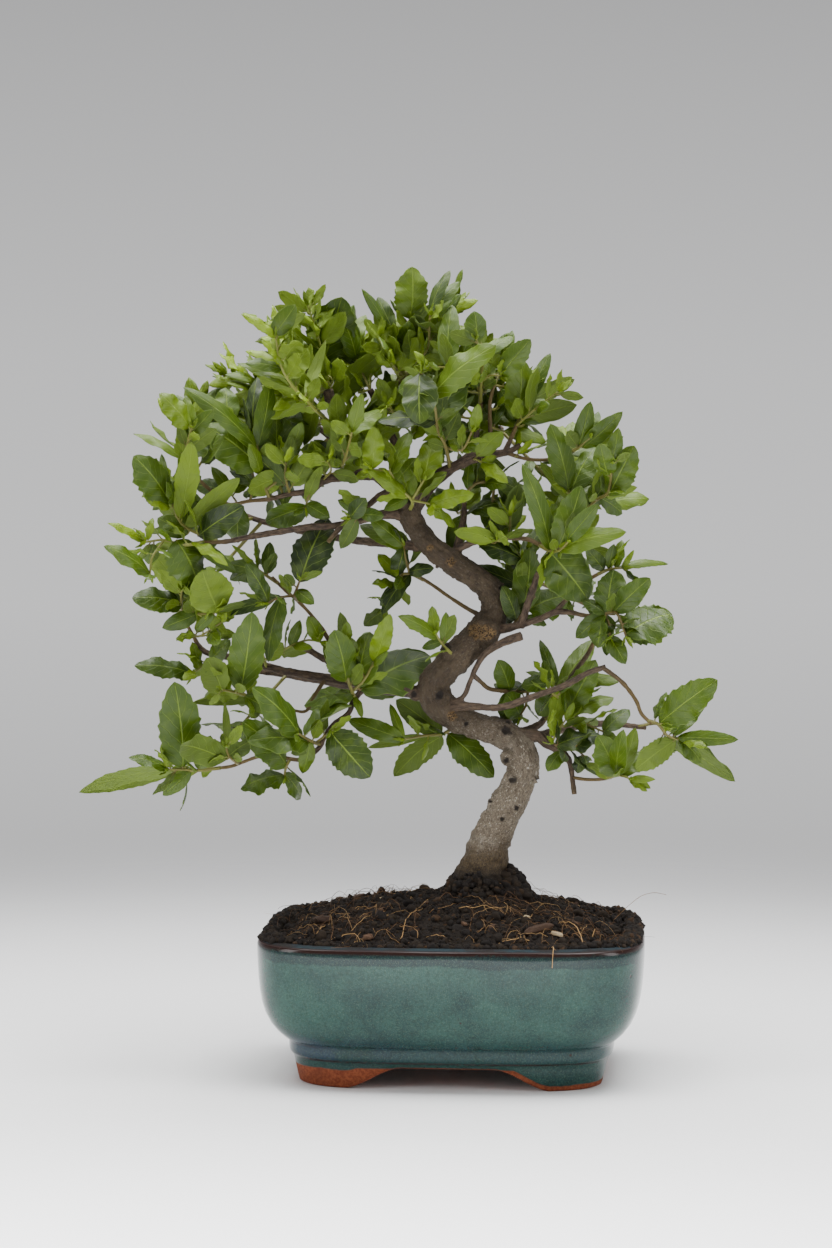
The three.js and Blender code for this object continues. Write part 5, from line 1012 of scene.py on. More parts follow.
def scatter_tree(material):
    """Geometry Nodes that strew crumbs over a surface: lumps of unlike size, turned and dented
    at random, joined into one mesh."""
    tree = bpy.data.node_groups.new("strewn_crumbs", "GeometryNodeTree")
    face = tree.interface
    face.new_socket("Geometry", in_out="INPUT", socket_type="NodeSocketGeometry")
    for name in ("Crumbs per square metre", "Smallest", "Largest", "Dent"):
        face.new_socket(name, in_out="INPUT", socket_type="NodeSocketFloat")
    for name in ("Seed", "Rounds"):
        face.new_socket(name, in_out="INPUT", socket_type="NodeSocketInt")
    face.new_socket("Geometry", in_out="OUTPUT", socket_type="NodeSocketGeometry")

    def node(kind, settings=None, inputs=None):
        return add_node(tree, kind, settings, inputs)

    given = node("NodeGroupInput").outputs
    points = node("GeometryNodeDistributePointsOnFaces", None, {
        "Mesh": given["Geometry"], "Density": given["Crumbs per square metre"],
        "Seed": given["Seed"],
    })
    lump = node("GeometryNodeMeshIcoSphere", None, {"Radius": 1.0, "Subdivisions": given["Rounds"]})
    turn = node("FunctionNodeRandomValue", {"data_type": "FLOAT_VECTOR"}, {
        0: (0.0, 0.0, 0.0), 1: (6.28, 6.28, 6.28), "Seed": given["Seed"],
    })
    share = node("FunctionNodeRandomValue", {"data_type": "FLOAT"}, {2: 0.0, 3: 1.0, "Seed": 5})
    cubed = node("ShaderNodeMath", {"operation": "POWER"}, {0: share.outputs[1], 1: 2.6})
    width = node("ShaderNodeMapRange", None, {
        0: cubed.outputs[0], 3: given["Smallest"], 4: given["Largest"],
    })
    squash = node("FunctionNodeRandomValue", {"data_type": "FLOAT_VECTOR"}, {
        0: (0.7, 0.7, 0.5), 1: (1.2, 1.2, 0.95), "Seed": 9,
    })
    scale = node("ShaderNodeVectorMath", {"operation": "SCALE"}, {
        0: squash.outputs[0], "Scale": width.outputs[0],
    })
    placed = node("GeometryNodeInstanceOnPoints", None, {
        "Points": points.outputs["Points"], "Instance": lump.outputs["Mesh"],
        "Rotation": turn.outputs[0], "Scale": scale.outputs[0],
    })
    tone = node("FunctionNodeRandomValue", {"data_type": "FLOAT"}, {2: 0.0, 3: 1.0, "Seed": 21})
    marked = node("GeometryNodeStoreNamedAttribute", {"data_type": "FLOAT", "domain": "INSTANCE"}, {
        "Geometry": placed.outputs[0], "Name": "crumb", "Value": tone.outputs[1],
    })
    whole = node("GeometryNodeRealizeInstances", None, {0: marked.outputs[0]})
    dents = node("ShaderNodeTexNoise", {"noise_dimensions": "3D"}, {"Scale": 700.0, "Detail": 1.0})
    centred = node("ShaderNodeVectorMath", {"operation": "SUBTRACT"}, {
        0: dents.outputs["Color"], 1: (0.5, 0.5, 0.5),
    })
    push = node("ShaderNodeVectorMath", {"operation": "SCALE"}, {
        0: centred.outputs[0], "Scale": given["Dent"],
    })
    dented = node("GeometryNodeSetPosition", None, {0: whole.outputs[0], "Offset": push.outputs[0]})
    dressed = node("GeometryNodeSetMaterial", None, {0: dented.outputs[0], "Material": material})
    node("NodeGroupOutput", None, {0: dressed.outputs[0]})
    return tree


def strew(name, points, around, finish, density, seed, rounds, smallest, largest, dent):
    """Keeps a piece of crumbs that are strewn over rings of so many points each: so many to a
    square metre, in a range of sizes and dented so far, in mm."""
    surface = Shape()
    surface.add(points, ring_faces(len(points) // around, around))
    tree = scatter_tree(finish)
    inputs = {
        "Crumbs per square metre": density, "Seed": seed, "Rounds": rounds,
        "Smallest": smallest * MM, "Largest": largest * MM, "Dent": dent * MM,
    }
    carrier = surface.piece(name, None)
    modifier = carrier.modifiers.new("strew", "NODES")
    modifier.node_group = tree
    for item in tree.interface.items_tree:
        if item.item_type == "SOCKET" and item.in_out == "INPUT" and item.name in inputs:
            modifier[item.identifier] = inputs[item.name]
    mesh = baked(carrier, name)
    bpy.data.objects.remove(carrier)
    mesh.shade_smooth()
    keep(new_piece(name, mesh), "soil")


def soil_grid(turns, rows):
    """Rings of the loose surface from the pot's wall to its middle."""
    rings = []
    for row in range(rows + 1):
        share = 1 - (row / rows) * 0.985
        ring = []
        for turn in turns:
            x, y = plan_point(turn, WALL + 0.75)
            x, y = x * share, y * share
            rough = clod_height(x, y) * min(1, (1 - share) * 14 + 0.35)
            ring.append(Vector((x, y, soil_height(x, y) + rough)) + SPREAD_MIDDLE)
        rings.append(ring)
    return rings


def make_soil(settings):
    turns = plan_turns(300)
    bottom = 17.6
    buried = [(28.6, bottom), (19.6, 26.4), (11.1, 43), (8.2, 62)]
    rings = [[Vector((*plan_point(t, inset), z)) + SPREAD_MIDDLE for t in turns]
             for inset, z in buried]
    rings += soil_grid(turns, 62)
    points = [p for ring in rings for p in ring]
    faces = ring_faces(len(rings), len(turns))
    close_ends(points, faces, len(turns), bottom, ground(0, 0).z)
    shape = Shape()
    shape.add(points, faces)
    soil = shape.piece("soil_bed", peat_finish(settings))
    outward(soil.data)
    keep(soil, "soil", "soil")


def rim_spill(turns):
    """Rings where soil lies over the rim's inner edge, and hides it at the sides and the back."""
    points = []
    for inset, rise in ((1.6, 0.2), (3, 1.2), (4.5, 2), (6, 2.4), (7.5, 2.2), (9.5, 1.2)):
        for turn in turns:
            _, y = plan_point(turn, inset)
            front = eased((-y - 52) / 12)
            x, y = plan_point(turn, inset + 5 * front)
            lift = rise * (1 + 0.7 * noise.noise(Vector((x, y, 0)) * 0.13)) * (1 - 0.7 * front)
            points.append(Vector((x, y, POT_HEIGHT + lift)) + SPREAD_MIDDLE)
    return points


def heap_rings(around):
    """Rings of the small heap beside the trunk."""
    points = []
    for reach in (1, 3, 5, 7, 9, 11.5):
        for turn in around:
            x = HEAP[0] - 1 + reach * math.cos(turn)
            y = HEAP[1] - 5 + reach * math.sin(turn)
            points.append(ground(x, y) + Vector((0, 0, 5 * (1 - reach / 12))))
    return points


def collar_rings(around):
    """Rings of soil that clings to the trunk's foot, higher on some sides than on others."""
    points = []
    low = 84
    for share in (0, 0.25, 0.5, 0.75, 1):
        for turn in around:
            top = 98 + 6 * noise.noise(Vector((math.cos(turn), math.sin(turn), 4)) * 1.4)
            rise = (top - low) * share
            reach = 20.5 - rise * 0.47
            x = TRUNK_FOOT[0] + rise * 0.12 + reach * math.cos(turn)
            y = TRUNK_FOOT[1] + reach * math.sin(turn)
            points.append(Vector((x, y, low + rise)) + SPREAD_MIDDLE)
    return points


def make_crumbs(settings):
    """Crumbs of peat, most of them fine, strewn over the mound and heaped by the trunk."""
    wide, narrow = 120, 40
    turns = plan_turns(wide)
    around = [2 * math.pi * k / narrow for k in range(narrow)]
    mound = [p for ring in soil_grid(turns, 30) for p in ring]
    finish = crumb_finish(settings)
    # The surface under each, and its share of the density, seed, rounds, two sizes and dents
    layers = [
        ("rim_crumbs", rim_spill(turns), wide, 2, 15, 1, 0.7, 2.6, 1.1),
        ("soil_crumbs", mound, wide, 1, 4, 1, 0.4, 1.6, 0.8),
        ("soil_lumps", mound, wide, 0.09, 11, 2, 1.1, 3.4, 2.2),
        ("heaped_crumbs", heap_rings(around), narrow, 2.2, 7, 2, 0.8, 3.2, 1.8),
        ("clinging_crumbs", collar_rings(around), narrow, 1.7, 29, 1, 0.5, 2.6, 1.2),
    ]
    for name, points, count, share, *rest in layers:
        strew(name, points, count, finish, settings.crumbs * share, *rest)


# The bold fibres that the photograph shows: x, y, heading, length, curl, lift, radius and tone
BOLD_FIBRES = [
    (-64, -48, 1.0, 12, 0.3, 1, 0.3, 0.9), (-56, -55, 1.5, 15, 0.2, 0.6, 0.26, 0.5),
    (-52, -56, 0.5, 14, -1.5, 2, 0.28, 0.9), (-22, -58, 1.5, 17, 0.1, 0.5, 0.3, 0.9),
    (-20, -40, 1.2, 16, 0.2, 0.8, 0.3, 0.85), (-14, -55, 1.4, 9, 0.5, 1, 0.28, 0.8),
    (-26, -46, -0.9, 12, 1.2, 1, 0.26, 0.75), (4, -28, -0.1, 22, -0.15, 0.8, 0.32, 0.9),
    (0, -56, 2.7, 10, 0.2, 0.6, 0.3, 0.85), (10, -54, 1.5, 15, 0.1, 0.4, 0.26, 0.55),
    (14, -52, 0.2, 11, 1.8, 1.2, 0.26, 0.75), (40, -57, 2.9, 15, 0.4, 1.2, 0.32, 0.95),
    (38, -42, 1.1, 13, 0.6, 1.5, 0.28, 0.8), (66, -58, 1.7, 24, 0.9, 4, 0.32, 0.95),
    (60, -48, -1.2, 14, 1.3, 2.4, 0.26, 0.7), (70, -46, 1.3, 14, 0.2, 1.4, 0.3, 0.85),
    (78, -50, 1.6, 12, -0.2, 1, 0.26, 0.6), (56, -54, 1.9, 16, -0.4, 2.2, 0.24, 0.6),
    (-44, -26, 0.5, 17, 0.4, 1.4, 0.28, 0.8), (-50, -8, 1.9, 18, -3.0, 7, 0.2, 0.25),
    (-62, 0, 2.2, 15, -3.0, 7, 0.18, 0.2), (-86, -18, 2.4, 15, -2.6, 6, 0.16, 0.3),
    (-84, 6, 2.1, 14, -2.4, 5, 0.16, 0.3), (-36, 8, 1.7, 12, -2.4, 6, 0.18, 0.15),
    (44, -4, 1.5, 10, -0.4, 5, 0.16, 0.4), (-8, -22, 0.9, 14, -0.9, 2.4, 0.22, 0.6),
    (-10, -32, 0.3, 16, 0.9, 1.6, 0.24, 0.75), (24, -24, 1.9, 9, 0.3, 1, 0.22, 0.7),
    (30, -36, 1.7, 11, -0.2, 0.6, 0.24, 0.75), (12, -18, 1.9, 9, 0.2, 1.2, 0.24, 0.8),
]
# One fibre hangs over the front of the rim, and a hair arches out past its right-hand corner
HUNG = [(51, -60, 72), (51.4, -66, 73), (51.9, -70.5, 73.2), (51.6, -72.6, 70), (51.3, -72.6, 64)]
HAIR = [
    (80, -14, 78), (84, -13, 82), (89, -12, 86.5), (94, -11, 90), (100, -10, 91.5),
    (106, -9, 90.4),
]


def make_fibres(settings):
    """Coir fibres that lie over the soil in loose curves, a few of them standing clear of it."""
    draw = random.Random(31)
    shape = Shape(straw="FLOAT")

    def lay(x, y, heading, length, curl, lift, radius, tone):
        count = max(6, int(length / 2))
        line = []
        for i in range(count + 1):
            t = i / count
            base = ground(x, y)
            inside = (abs(x) < RIM_LENGTH / 2 - WALL - 0.5
                      and abs(y) < RIM_DEPTH / 2 - WALL - 0.5)
            z = base.z if inside else max(base.z, POT_HEIGHT + 0.4)
            arch = lift * 4 * t * (1 - t) + 0.35
            line.append(Vector((base.x, base.y, z + arch)))
            heading += curl / count + draw.uniform(-0.12, 0.12)
            x += math.cos(heading) * length / count
            y += math.sin(heading) * length / count
        radii = [radius * (1 - 0.4 * i / count) for i in range(count + 1)]
        points, faces, _ = tube(line, radii, 4)
        shape.add(points, faces, straw=tone)

    for _ in range(settings.fibres):
        turn = draw.uniform(0, 2 * math.pi)
        inset = draw.uniform(0.1, 1) ** 0.5
        x, y = plan_point(turn, WALL + 3)
        pale = draw.random()
        lay(
            x * inset, y * inset, draw.uniform(0, 2 * math.pi), draw.uniform(5, 20),
            draw.uniform(-2.2, 2.2), draw.uniform(0, 1) ** 3 * 5, draw.uniform(0.07, 0.14),
            pale**1.2,
        )
    for x, y, heading, length, curl, lift, radius, tone in BOLD_FIBRES:
        lay(x, y, heading, length, curl, lift, radius * 0.72, tone)
    for line, radius, tone in ((HUNG, 0.17, 0.95), (HAIR, 0.12, 0.7)):
        curve = [Vector(p) + SPREAD_MIDDLE for p in smooth_line(line, 1.5)]
        points, faces, _ = tube(curve, [radius] * len(curve), 5)
        shape.add(points, faces, straw=tone)
    keep(shape.piece("coir_fibres", fibre_finish()), "soil")


# Bark chips and pale grit on the soil: x, y, length, width, thickness, turn and paleness
CHIPS = [
    (-62, -34, 9, 6, 4, 0.3, 0.2), (-33, -30, 6, 3.6, 2.4, 0.2, 0.6),
    (44, -48, 14, 6, 4, 0.5, 0.3), (53, -51, 8, 3, 1.8, -0.7, 0.9),
    (-35, 4, 8, 2.6, 1.6, -0.9, 0.98), (-38, -56, 5.5, 4.5, 2.6, 0.4, 0.7),
    (38, -38, 3.6, 3.2, 2.4, 0, 1.0), (-12, -20, 4, 2.6, 1.6, 0.7, 0.35),
    (22, -46, 5, 3.4, 2, 1.2, 0.4), (62, -30, 6, 3.6, 2.4, 0.9, 0.4),
    (8, -46, 4.4, 2.2, 1.4, 2.1, 0.6), (-72, -50, 5, 3, 2, 1.7, 0.45),
    (74, -56, 3, 2, 1.4, 0.4, 0.8), (-50, 24, 8, 5, 3, 0.6, 0.35),
    (20, 40, 10, 6, 3, 2.4, 0.4), (60, 30, 7, 5, 3, 1.4, 0.3),
    (-20, 48, 6, 3, 2, 0.2, 0.9), (-66, 40, 9, 5, 3, 1.9, 0.45),
]


def ball(radius):
    """The vertices and faces of a round ball."""
    work = bmesh.new()
    bmesh.ops.create_icosphere(work, subdivisions=3, radius=radius)
    points = [v.co.copy() for v in work.verts]
    faces = [tuple(v.index for v in face.verts) for face in work.faces]
    work.free()
    return points, faces


def make_chips():
    """Squarish dented flakes, half sunk in the soil."""
    shape = Shape(pale="FLOAT")
    corners, faces = ball(1)
    for number, (x, y, length, width, thick, turn, pale) in enumerate(CHIPS):
        spin = Matrix.Rotation(turn, 3, "Z") @ Matrix.Rotation(0.2 * math.sin(number * 2.3), 3, "Y")
        middle = ground(x, y) + Vector((0, 0, thick * 0.2))
        size = Vector((length, width, thick)) / 2
        points = []
        for corner in corners:
            dent = 1 + 0.28 * noise.noise(corner * 1.5 + Vector((number, 0, 0)))
            square = Vector([math.copysign(abs(c) ** 0.75, c) for c in corner]) * dent
            points.append(middle + spin @ (square * size))
        shape.add(points, faces, pale=pale)
    keep(shape.piece("bark_chips", chip_finish()), "soil")


# The wood


# Healed scars and knots on the side that faces the viewer: x, z and radius as they are drawn
SCARS = [
    (26, 170, 2.3), (29, 145.6, 1.7), (41.4, 145.7, 1.4), (24, 126, 1.3), (31, 132, 1.5),
    (19, 134.4, 1.2), (26.5, 155.6, 1.5), (-7, 188, 2.4), (-3.3, 211.5, 2.2), (24, 241.4, 2.1),
    (-20, 189, 1.8), (27, 174, 1.3), (34, 120, 1.1), (-9, 252, 1.2), (6, 174, 1.4),
]
# Corky patches, given in the same way
CORKY = [(11, 220.4, 4), (16.5, 219.6, 4), (-1, 178, 2.4), (-1.5, 255, 2.4), (-12, 262, 1.8)]
# Thinner than this, a bough is left out of the fused wood and laid on as a twig
FUSED_RADIUS = 1.75


class Grain:
    """The middle lines of the wood, so that bark can run along whichever is nearest."""

    def __init__(self):
        self.rows = []

    def add(self, points, radii, number):
        run = number * 61.0
        for i, (point, axes) in enumerate(zip(points, frames_along(points))):
            if i:
                run += (point - points[i - 1]).length
            self.rows.append([*point, radii[i], run, *axes[1], *axes[2]])

    def of(self, points):
        """For each point: its place across and along the nearest line, and that line's radius."""
        table = np.array(self.rows)
        points = np.array(points)
        places = np.empty((len(points), 3))
        girths = np.empty(len(points))
        for start in range(0, len(points), 3000):
            some = points[start:start + 3000]
            gap = np.linalg.norm(some[:, None, :] - table[None, :, :3], axis=2) - table[:, 3]
            best = table[gap.argmin(axis=1)]
            off = some - best[:, :3]
            places[start:start + 3000, 0] = (off * best[:, 5:8]).sum(1)
            places[start:start + 3000, 1] = (off * best[:, 8:11]).sum(1)
            places[start:start + 3000, 2] = best[:, 4]
            girths[start:start + 3000] = best[:, 3]
        return places, girths


def drawn_distance(points, x, z):
    """How far each point lies from the line of sight through a drawn place."""
    eye = np.array(EYE_POINT)
    ray = np.array(seen((x, z, 0))) - eye
    ray /= np.linalg.norm(ray)
    off = points - eye
    return np.linalg.norm(off - (off @ ray)[:, None] * ray, axis=1)


def closeness(points, normals, spots):
    """1 at the middle of each drawn spot on the near side, falling unevenly away round it."""
    found = np.zeros(len(points))
    ragged = np.array([1 + 0.55 * noise.noise(Vector(p) * 0.8) for p in points])
    to_eye = np.array(EYE_POINT) - points
    to_eye /= np.linalg.norm(to_eye, axis=1)[:, None]
    facing = (to_eye * normals).sum(1) > -0.2
    for x, z, radius in spots:
        near = np.exp(-((drawn_distance(points, x, z) * ragged / radius) ** 2)) * facing
        found = np.maximum(found, near)
    return found


def bark_finish(settings):
    f = Finish("corky_bark", Specular_IOR_Level=0.3)
    at = f.place()
    z = f.split(at)[2]
    grain = f.attribute("grain", "Vector")
    girth = f.attribute("girth")
    scar = f.attribute("scar")
    cork = f.attribute("cork")
    along = f.scaled(grain, (1, 1, 0.34))
    streak = f.noise(along, 0.8, 6, 0.7, 0.3)
    fine = f.noise(f.scaled(grain, (1, 1, 0.5)), 2.6, 4, 0.7)
    wide = f.noise(at, 0.09, 3, 0.6)
    # Upper trunk: brown grey. Lower trunk: pale grey flecked with dark pores.
    upper = f.blend(streak.ramp(0.25, 0.62), tuple(settings.dark), tuple(settings.brown))
    upper = f.blend(wide.ramp(0.48, 0.72) * 0.4, upper, hue(92, 78, 60))
    pale = f.blend(fine.ramp(0.32, 0.62), hue(92, 82, 69), tuple(settings.pale))
    pale = f.blend(wide.ramp(0.5, 0.75) * 0.35, pale, hue(158, 152, 139))
    lower = z.ramp(186, 150) * z.ramp(98, 112)
    flecked = (streak * 1.1 + fine * 0.9 - 0.12).math("MINIMUM", 1.0)
    color = f.blend(lower * flecked, upper, pale)
    blotch = f.noise(f.scaled(grain, (1, 1, 0.7)), 1.25, 5, 0.75)
    lichen = blotch.ramp(0.56, 0.64) * (lower * 0.75 + 0.12)
    color = f.blend(lichen, color, hue(168, 163, 150))
    color = f.blend(blotch.ramp(0.46, 0.38) * 0.6, color, hue(46, 35, 27))
    # Thin boughs are a warmer brown, and the youngest twigs greener
    bough = f.blend(streak.ramp(0.35, 0.68), hue(44, 34, 27), hue(92, 76, 60))
    color = f.blend(girth.ramp(4.6, 3.0), color, bough)
    color = f.blend(girth.ramp(1.35, 0.95) * 0.75, color, hue(96, 80, 44))
    # Mossy foot
    foot = (z + wide * 14 + fine * 6).ramp(132, 116)
    moss = f.blend(fine.ramp(0.4, 0.65), hue(36, 26, 15), hue(84, 68, 40))
    color = f.blend(foot * 0.85, color, moss)
    color = f.blend((z + fine * 14).ramp(113, 105) * 0.85, color, hue(20, 14, 9))
    # Pores, scars and corky patches
    cell = f.cells(f.scaled(grain, (1, 1, 1.5)), 0.62)
    some = f.split(f.cells(f.scaled(grain, (1, 1, 1.5)), 0.62, "Color"))[0] > 0.5
    pores = cell.ramp(0.3, 0.14) * some * girth.ramp(3, 5)
    color = f.blend(pores * 0.7, color, hue(38, 28, 22))
    color = f.blend(cork.ramp(0.25, 0.6) * fine.ramp(0.35, 0.5), color, hue(104, 82, 50))
    holes = (f.cells(at, 0.8) - fine * 0.3).ramp(0.28, 0.12)
    holes = holes.math("MAXIMUM", fine.ramp(0.5, 0.4))
    color = f.blend(cork.ramp(0.25, 0.6) * holes, color, hue(26, 18, 12))
    color = f.blend(scar.ramp(0.3, 0.75) * 0.92, color, hue(20, 14, 11))
    height = streak * 0.5 + fine * 0.8 - pores * 0.5
    return f.finish(color, fine * 0.15 + 0.68, height, 0.5)


def lay_boughs(grain):
    """The thick stretches of the wood in one shape, and the thin ones as separate lines."""
    fused = Shape()
    twigs = []
    for number, line in enumerate([TRUNK, *BOUGHS]):
        route = smooth_line([(*seen(p), p[3]) for p in line], 1.1)
        points = [Vector(p[:3]) for p in route]
        radii = [max(0.5, p[3]) for p in route]
        grain.add(points, radii, number)
        last_thick = max((i for i, r in enumerate(radii) if r >= FUSED_RADIUS), default=-1)
        if last_thick > 3:
            end = last_thick + 1
            sides = 24 if number == 0 else 12
            fused.add(*tube(points[:end], radii[:end], sides, 0.12, flat_end=True)[:2])
        first = max(0, last_thick - 3)
        if len(points) - first > 4:
            twigs.append((points[first:], [min(r, 1.9) for r in radii[first:]]))
    for x, z, y, radius in KNOTS:
        points, faces = ball(radius)
        middle = seen((x, z, y))
        fused.add([middle + p * (1 + 0.25 * noise.noise(p * 0.6)) for p in points], faces)
    return fused, twigs


def welded(fused):
    """The fused wood as one even skin: its points in mm, its normals and its faces."""
    body = fused.piece("fused_wood", None)
    outward(body.data)
    weld = body.modifiers.new("weld", "REMESH")
    weld.mode = "VOXEL"
    weld.voxel_size = 0.72 * MM
    soften = body.modifiers.new("soften", "SMOOTH")
    soften.factor = 0.5
    soften.iterations = 4
    mesh = baked(body)
    bpy.data.objects.remove(body)
    points = np.empty(len(mesh.vertices) * 3)
    mesh.vertices.foreach_get("co", points)
    normals = np.array([v.vector for v in mesh.vertex_normals])
    faces = [tuple(p.vertices) for p in mesh.polygons]
    bpy.data.meshes.remove(mesh)
    return points.reshape(-1, 3) / MM, normals, faces


def bark_rise(point, place, girth, scar, corky, ridges):
    """How far the bark stands out at a point, in mm: ridges, corky lumps and rolled scar edges."""
    across, over, run = place
    ridge = noise.noise(Vector((across, over, run * 0.16)) * 0.5)
    lump = noise.noise(Vector((across, over, run)) * 0.85)
    swell = noise.noise(Vector((across, over, run)) * 0.17)
    rise = (0.35 * ridge + 0.5 * lump + 0.9 * swell) * min(1.0, girth / 7) * ridges
    rise += corky * (0.2 + 1.6 * noise.noise(Vector(point) * 0.9))
    return rise + 1.3 * math.exp(-((scar - 0.5) ** 2) / 0.05) * min(scar * 3, 1) - 0.3 * scar**3


def make_wood(settings):
    grain = Grain()
    fused, twigs = lay_boughs(grain)
    points, normals, faces = welded(fused)
    places, girths = grain.of(points)
    scars = closeness(points, normals, SCARS)
    cork = closeness(points, normals, CORKY)
    ridges = settings.ridges / MM
    moved = [
        Vector(point) + Vector(normal) * bark_rise(point, place, girth, scar, corky, ridges)
        for point, normal, place, girth, scar, corky in zip(
            points, normals, places, girths, scars, cork
        )
    ]
    shape = Shape(grain="FLOAT_VECTOR", girth="FLOAT", scar="FLOAT", cork="FLOAT")
    shape.add(
        moved, faces, grain=[tuple(p) for p in places], girth=list(girths), scar=list(scars),
        cork=list(cork),
    )
    for line, radii in twigs:
        sides = 8 if radii[0] > 1.2 else 6
        knobbly = [r * (1 + 0.16 * noise.noise(p * 0.5)) for p, r in zip(line, radii)]
        rods, rod_faces, owners = tube(line, knobbly, sides, 0.1, flat_end=True)
        rod_places, _ = grain.of(rods)
        shape.add(
            rods, rod_faces, grain=[tuple(p) for p in rod_places],
            girth=[radii[i] for i in owners], scar=0.0, cork=0.0,
        )
    wood = shape.piece("corky_wood", bark_finish(settings))
    keep(wood, "bark", "trunk")


# The shoots and their leaves


def swayed(stems, sway):
    """A shoot's stem lines, turned towards the viewer or away as they grow."""
    root_x, root_z = stems[0][0][:2]

    def depth(point):
        return point[2] + sway * min(math.hypot(point[0] - root_x, point[1] - root_z), SWAY_REACH)

    return [[(p[0], p[1], depth(p)) for p in line] for line in stems]


def far_shoot(name, source, deeper, root):
    """A shoot that repeats the one in front of it, deeper and leaning the other way."""
    _, stems, leaves = next(shoot for shoot in SHOOTS if shoot[0] == source)
    moved = [[(p[0], p[1], deeper - p[2]) for p in line] for line in stems]
    main = [tuple(root), *moved[0][1:]]
    return name, [main, *moved[1:]], sorted(leaves, key=lambda leaf: -leaf[4])


def nearest_on_stem(stems, x, z):
    best = None
    for line in stems:
        for a, b in zip(line, line[1:]):
            run = (b[0] - a[0], b[1] - a[1])
            raw = ((x - a[0]) * run[0] + (z - a[1]) * run[1]) / (run[0] ** 2 + run[1] ** 2)
            t = clamp(raw, SUNK, 1 - SUNK)
            spot = [v + (w - v) * t for v, w in zip(a, b)]
            gap = math.hypot(x - spot[0], z - spot[1])
            if best is None or gap < best[1]:
                best = (spot, gap)
    return best[0]


class Leaf:
    """A leaf's place in space: where its petiole leaves the stem, its base, the ways along and
    across it, its upper side, its size, its tone from 0 to 9 and its marks."""

    def __init__(self, spot, base, along, length, across, upper, width, tone, marks):
        self.spot = spot
        self.base = base
        self.along = along
        self.length = length
        self.across = across
        self.upper = upper
        self.width = width
        self.tone = tone
        self.marks = marks

    def at(self, u, reach, lift):
        """A point of the blade, from its place along, to one side, and above its flat."""
        arch = ARCH * self.length * 4 * u * (1 - u)
        return (self.base + self.along * (u * self.length) + self.across * reach
                + self.upper * (arch + lift))

    def solid_corners(self):
        """The corners of the leaf's solid, by which its bend is known."""
        if self.width < 6:
            half = SMALL_LEAF
        elif self.width < 13:
            half = MEDIUM_LEAF
        else:
            half = TOOTHED_LEAF if "t" in self.marks else LARGE_LEAF
        found = [self.base + self.along * self.length]
        for sign in (-1, 1):
            for i, (u, v) in enumerate(half):
                reach = v * self.width / 2
                wave = (WAVE if i % 2 == (0 if sign > 0 else 1) else -WAVE) * reach
                found.append(self.at(u, sign * reach, wave - FOLD * reach))
        shift = self.upper * (SOLID_BLADE / 2)
        return [p + shift for p in found] + [p - shift for p in found]


def drawn_leaf(given, index, spot, bend=(0, 0)):
    """A leaf from its row in a shoot's table, its number there, and its place on the stem."""
    base_x, base_z, tip_x, tip_z, seen_width, tone = given[:6]
    marks = given[6] if len(given) > 6 else ""
    lean, roll = bend
    turn = index % len(TIP_LEANS)
    flat = math.hypot(tip_x - base_x, tip_z - base_z)
    base = seen((base_x, base_z, spot[2]))
    tip = seen((tip_x, tip_z, spot[2] + flat * TIP_LEANS[turn] + lean))
    along = (tip - base).normalized()
    across = along.cross((EYE_POINT - base).normalized()).normalized()
    under = -1 if "u" in marks else 1
    angle = math.radians(ROLLS[turn] + roll + under * SKYWARD * across.z)
    spin = Matrix.Rotation(angle, 3, along)
    upper = (spin @ across.cross(along)) * under
    width = seen_width / max(0.7, math.cos(angle))
    length = (tip - base).length
    return Leaf(seen(spot), base, along, length, spin @ across, upper, width, tone, marks)


def free_leaf(spot, base, along, facing, length, width, tone, marks=""):
    """A leaf whose upper side turns as nearly as it can to the way that it faces."""
    across = along.cross(facing).normalized()
    upper = across.cross(along).normalized()
    return Leaf(spot, base, along, length, across, upper, width, tone, marks)


def bend_in_solid(given, index, spot, tree):
    """The leaf with the bend that its solid has, found by the solid's own corners."""
    best = None
    for bend in BENDS:
        leaf = drawn_leaf(given, index, spot, bend)
        gaps = sorted(tree.find(p * MM)[2] for p in leaf.solid_corners())
        off = sum(gaps[: len(gaps) * 2 // 3])
        if best is None or off < best[0]:
            best = (off, leaf)
    return best[1]


def half_width(u, tooth_count, bite):
    """A leaf's half width along it, as a share of its widest, with its teeth."""
    full = max(0.0, math.sin(math.pi * min(u, 1) ** 0.88)) ** 0.62
    step = (u * (tooth_count + 0.5)) % 1
    tooth = (step**1.4 - 0.45) * bite
    return full * (1 + tooth * eased(u * 4) * eased((1 - u) * 5 + 0.3))


def sheet_faces(rows, wide):
    """The faces of a closed sheet: its upper side, its lower side and the rim between them."""
    total = (rows + 1) * wide
    faces = []
    for i in range(rows):
        for j in range(wide - 1):
            a = i * wide + j
            quad = (a, a + 1, a + 1 + wide, a + wide)
            faces.append(quad)
            faces.append(tuple(total + k for k in reversed(quad)))
    rim = list(range(wide))
    rim += [i * wide + wide - 1 for i in range(1, rows + 1)]
    rim += [rows * wide + j for j in range(wide - 2, -1, -1)]
    rim += [i * wide for i in range(rows - 1, 0, -1)]
    faces.extend((b, a, total + a, total + b) for a, b in zip(rim, rim[1:] + rim[:1]))
    return faces


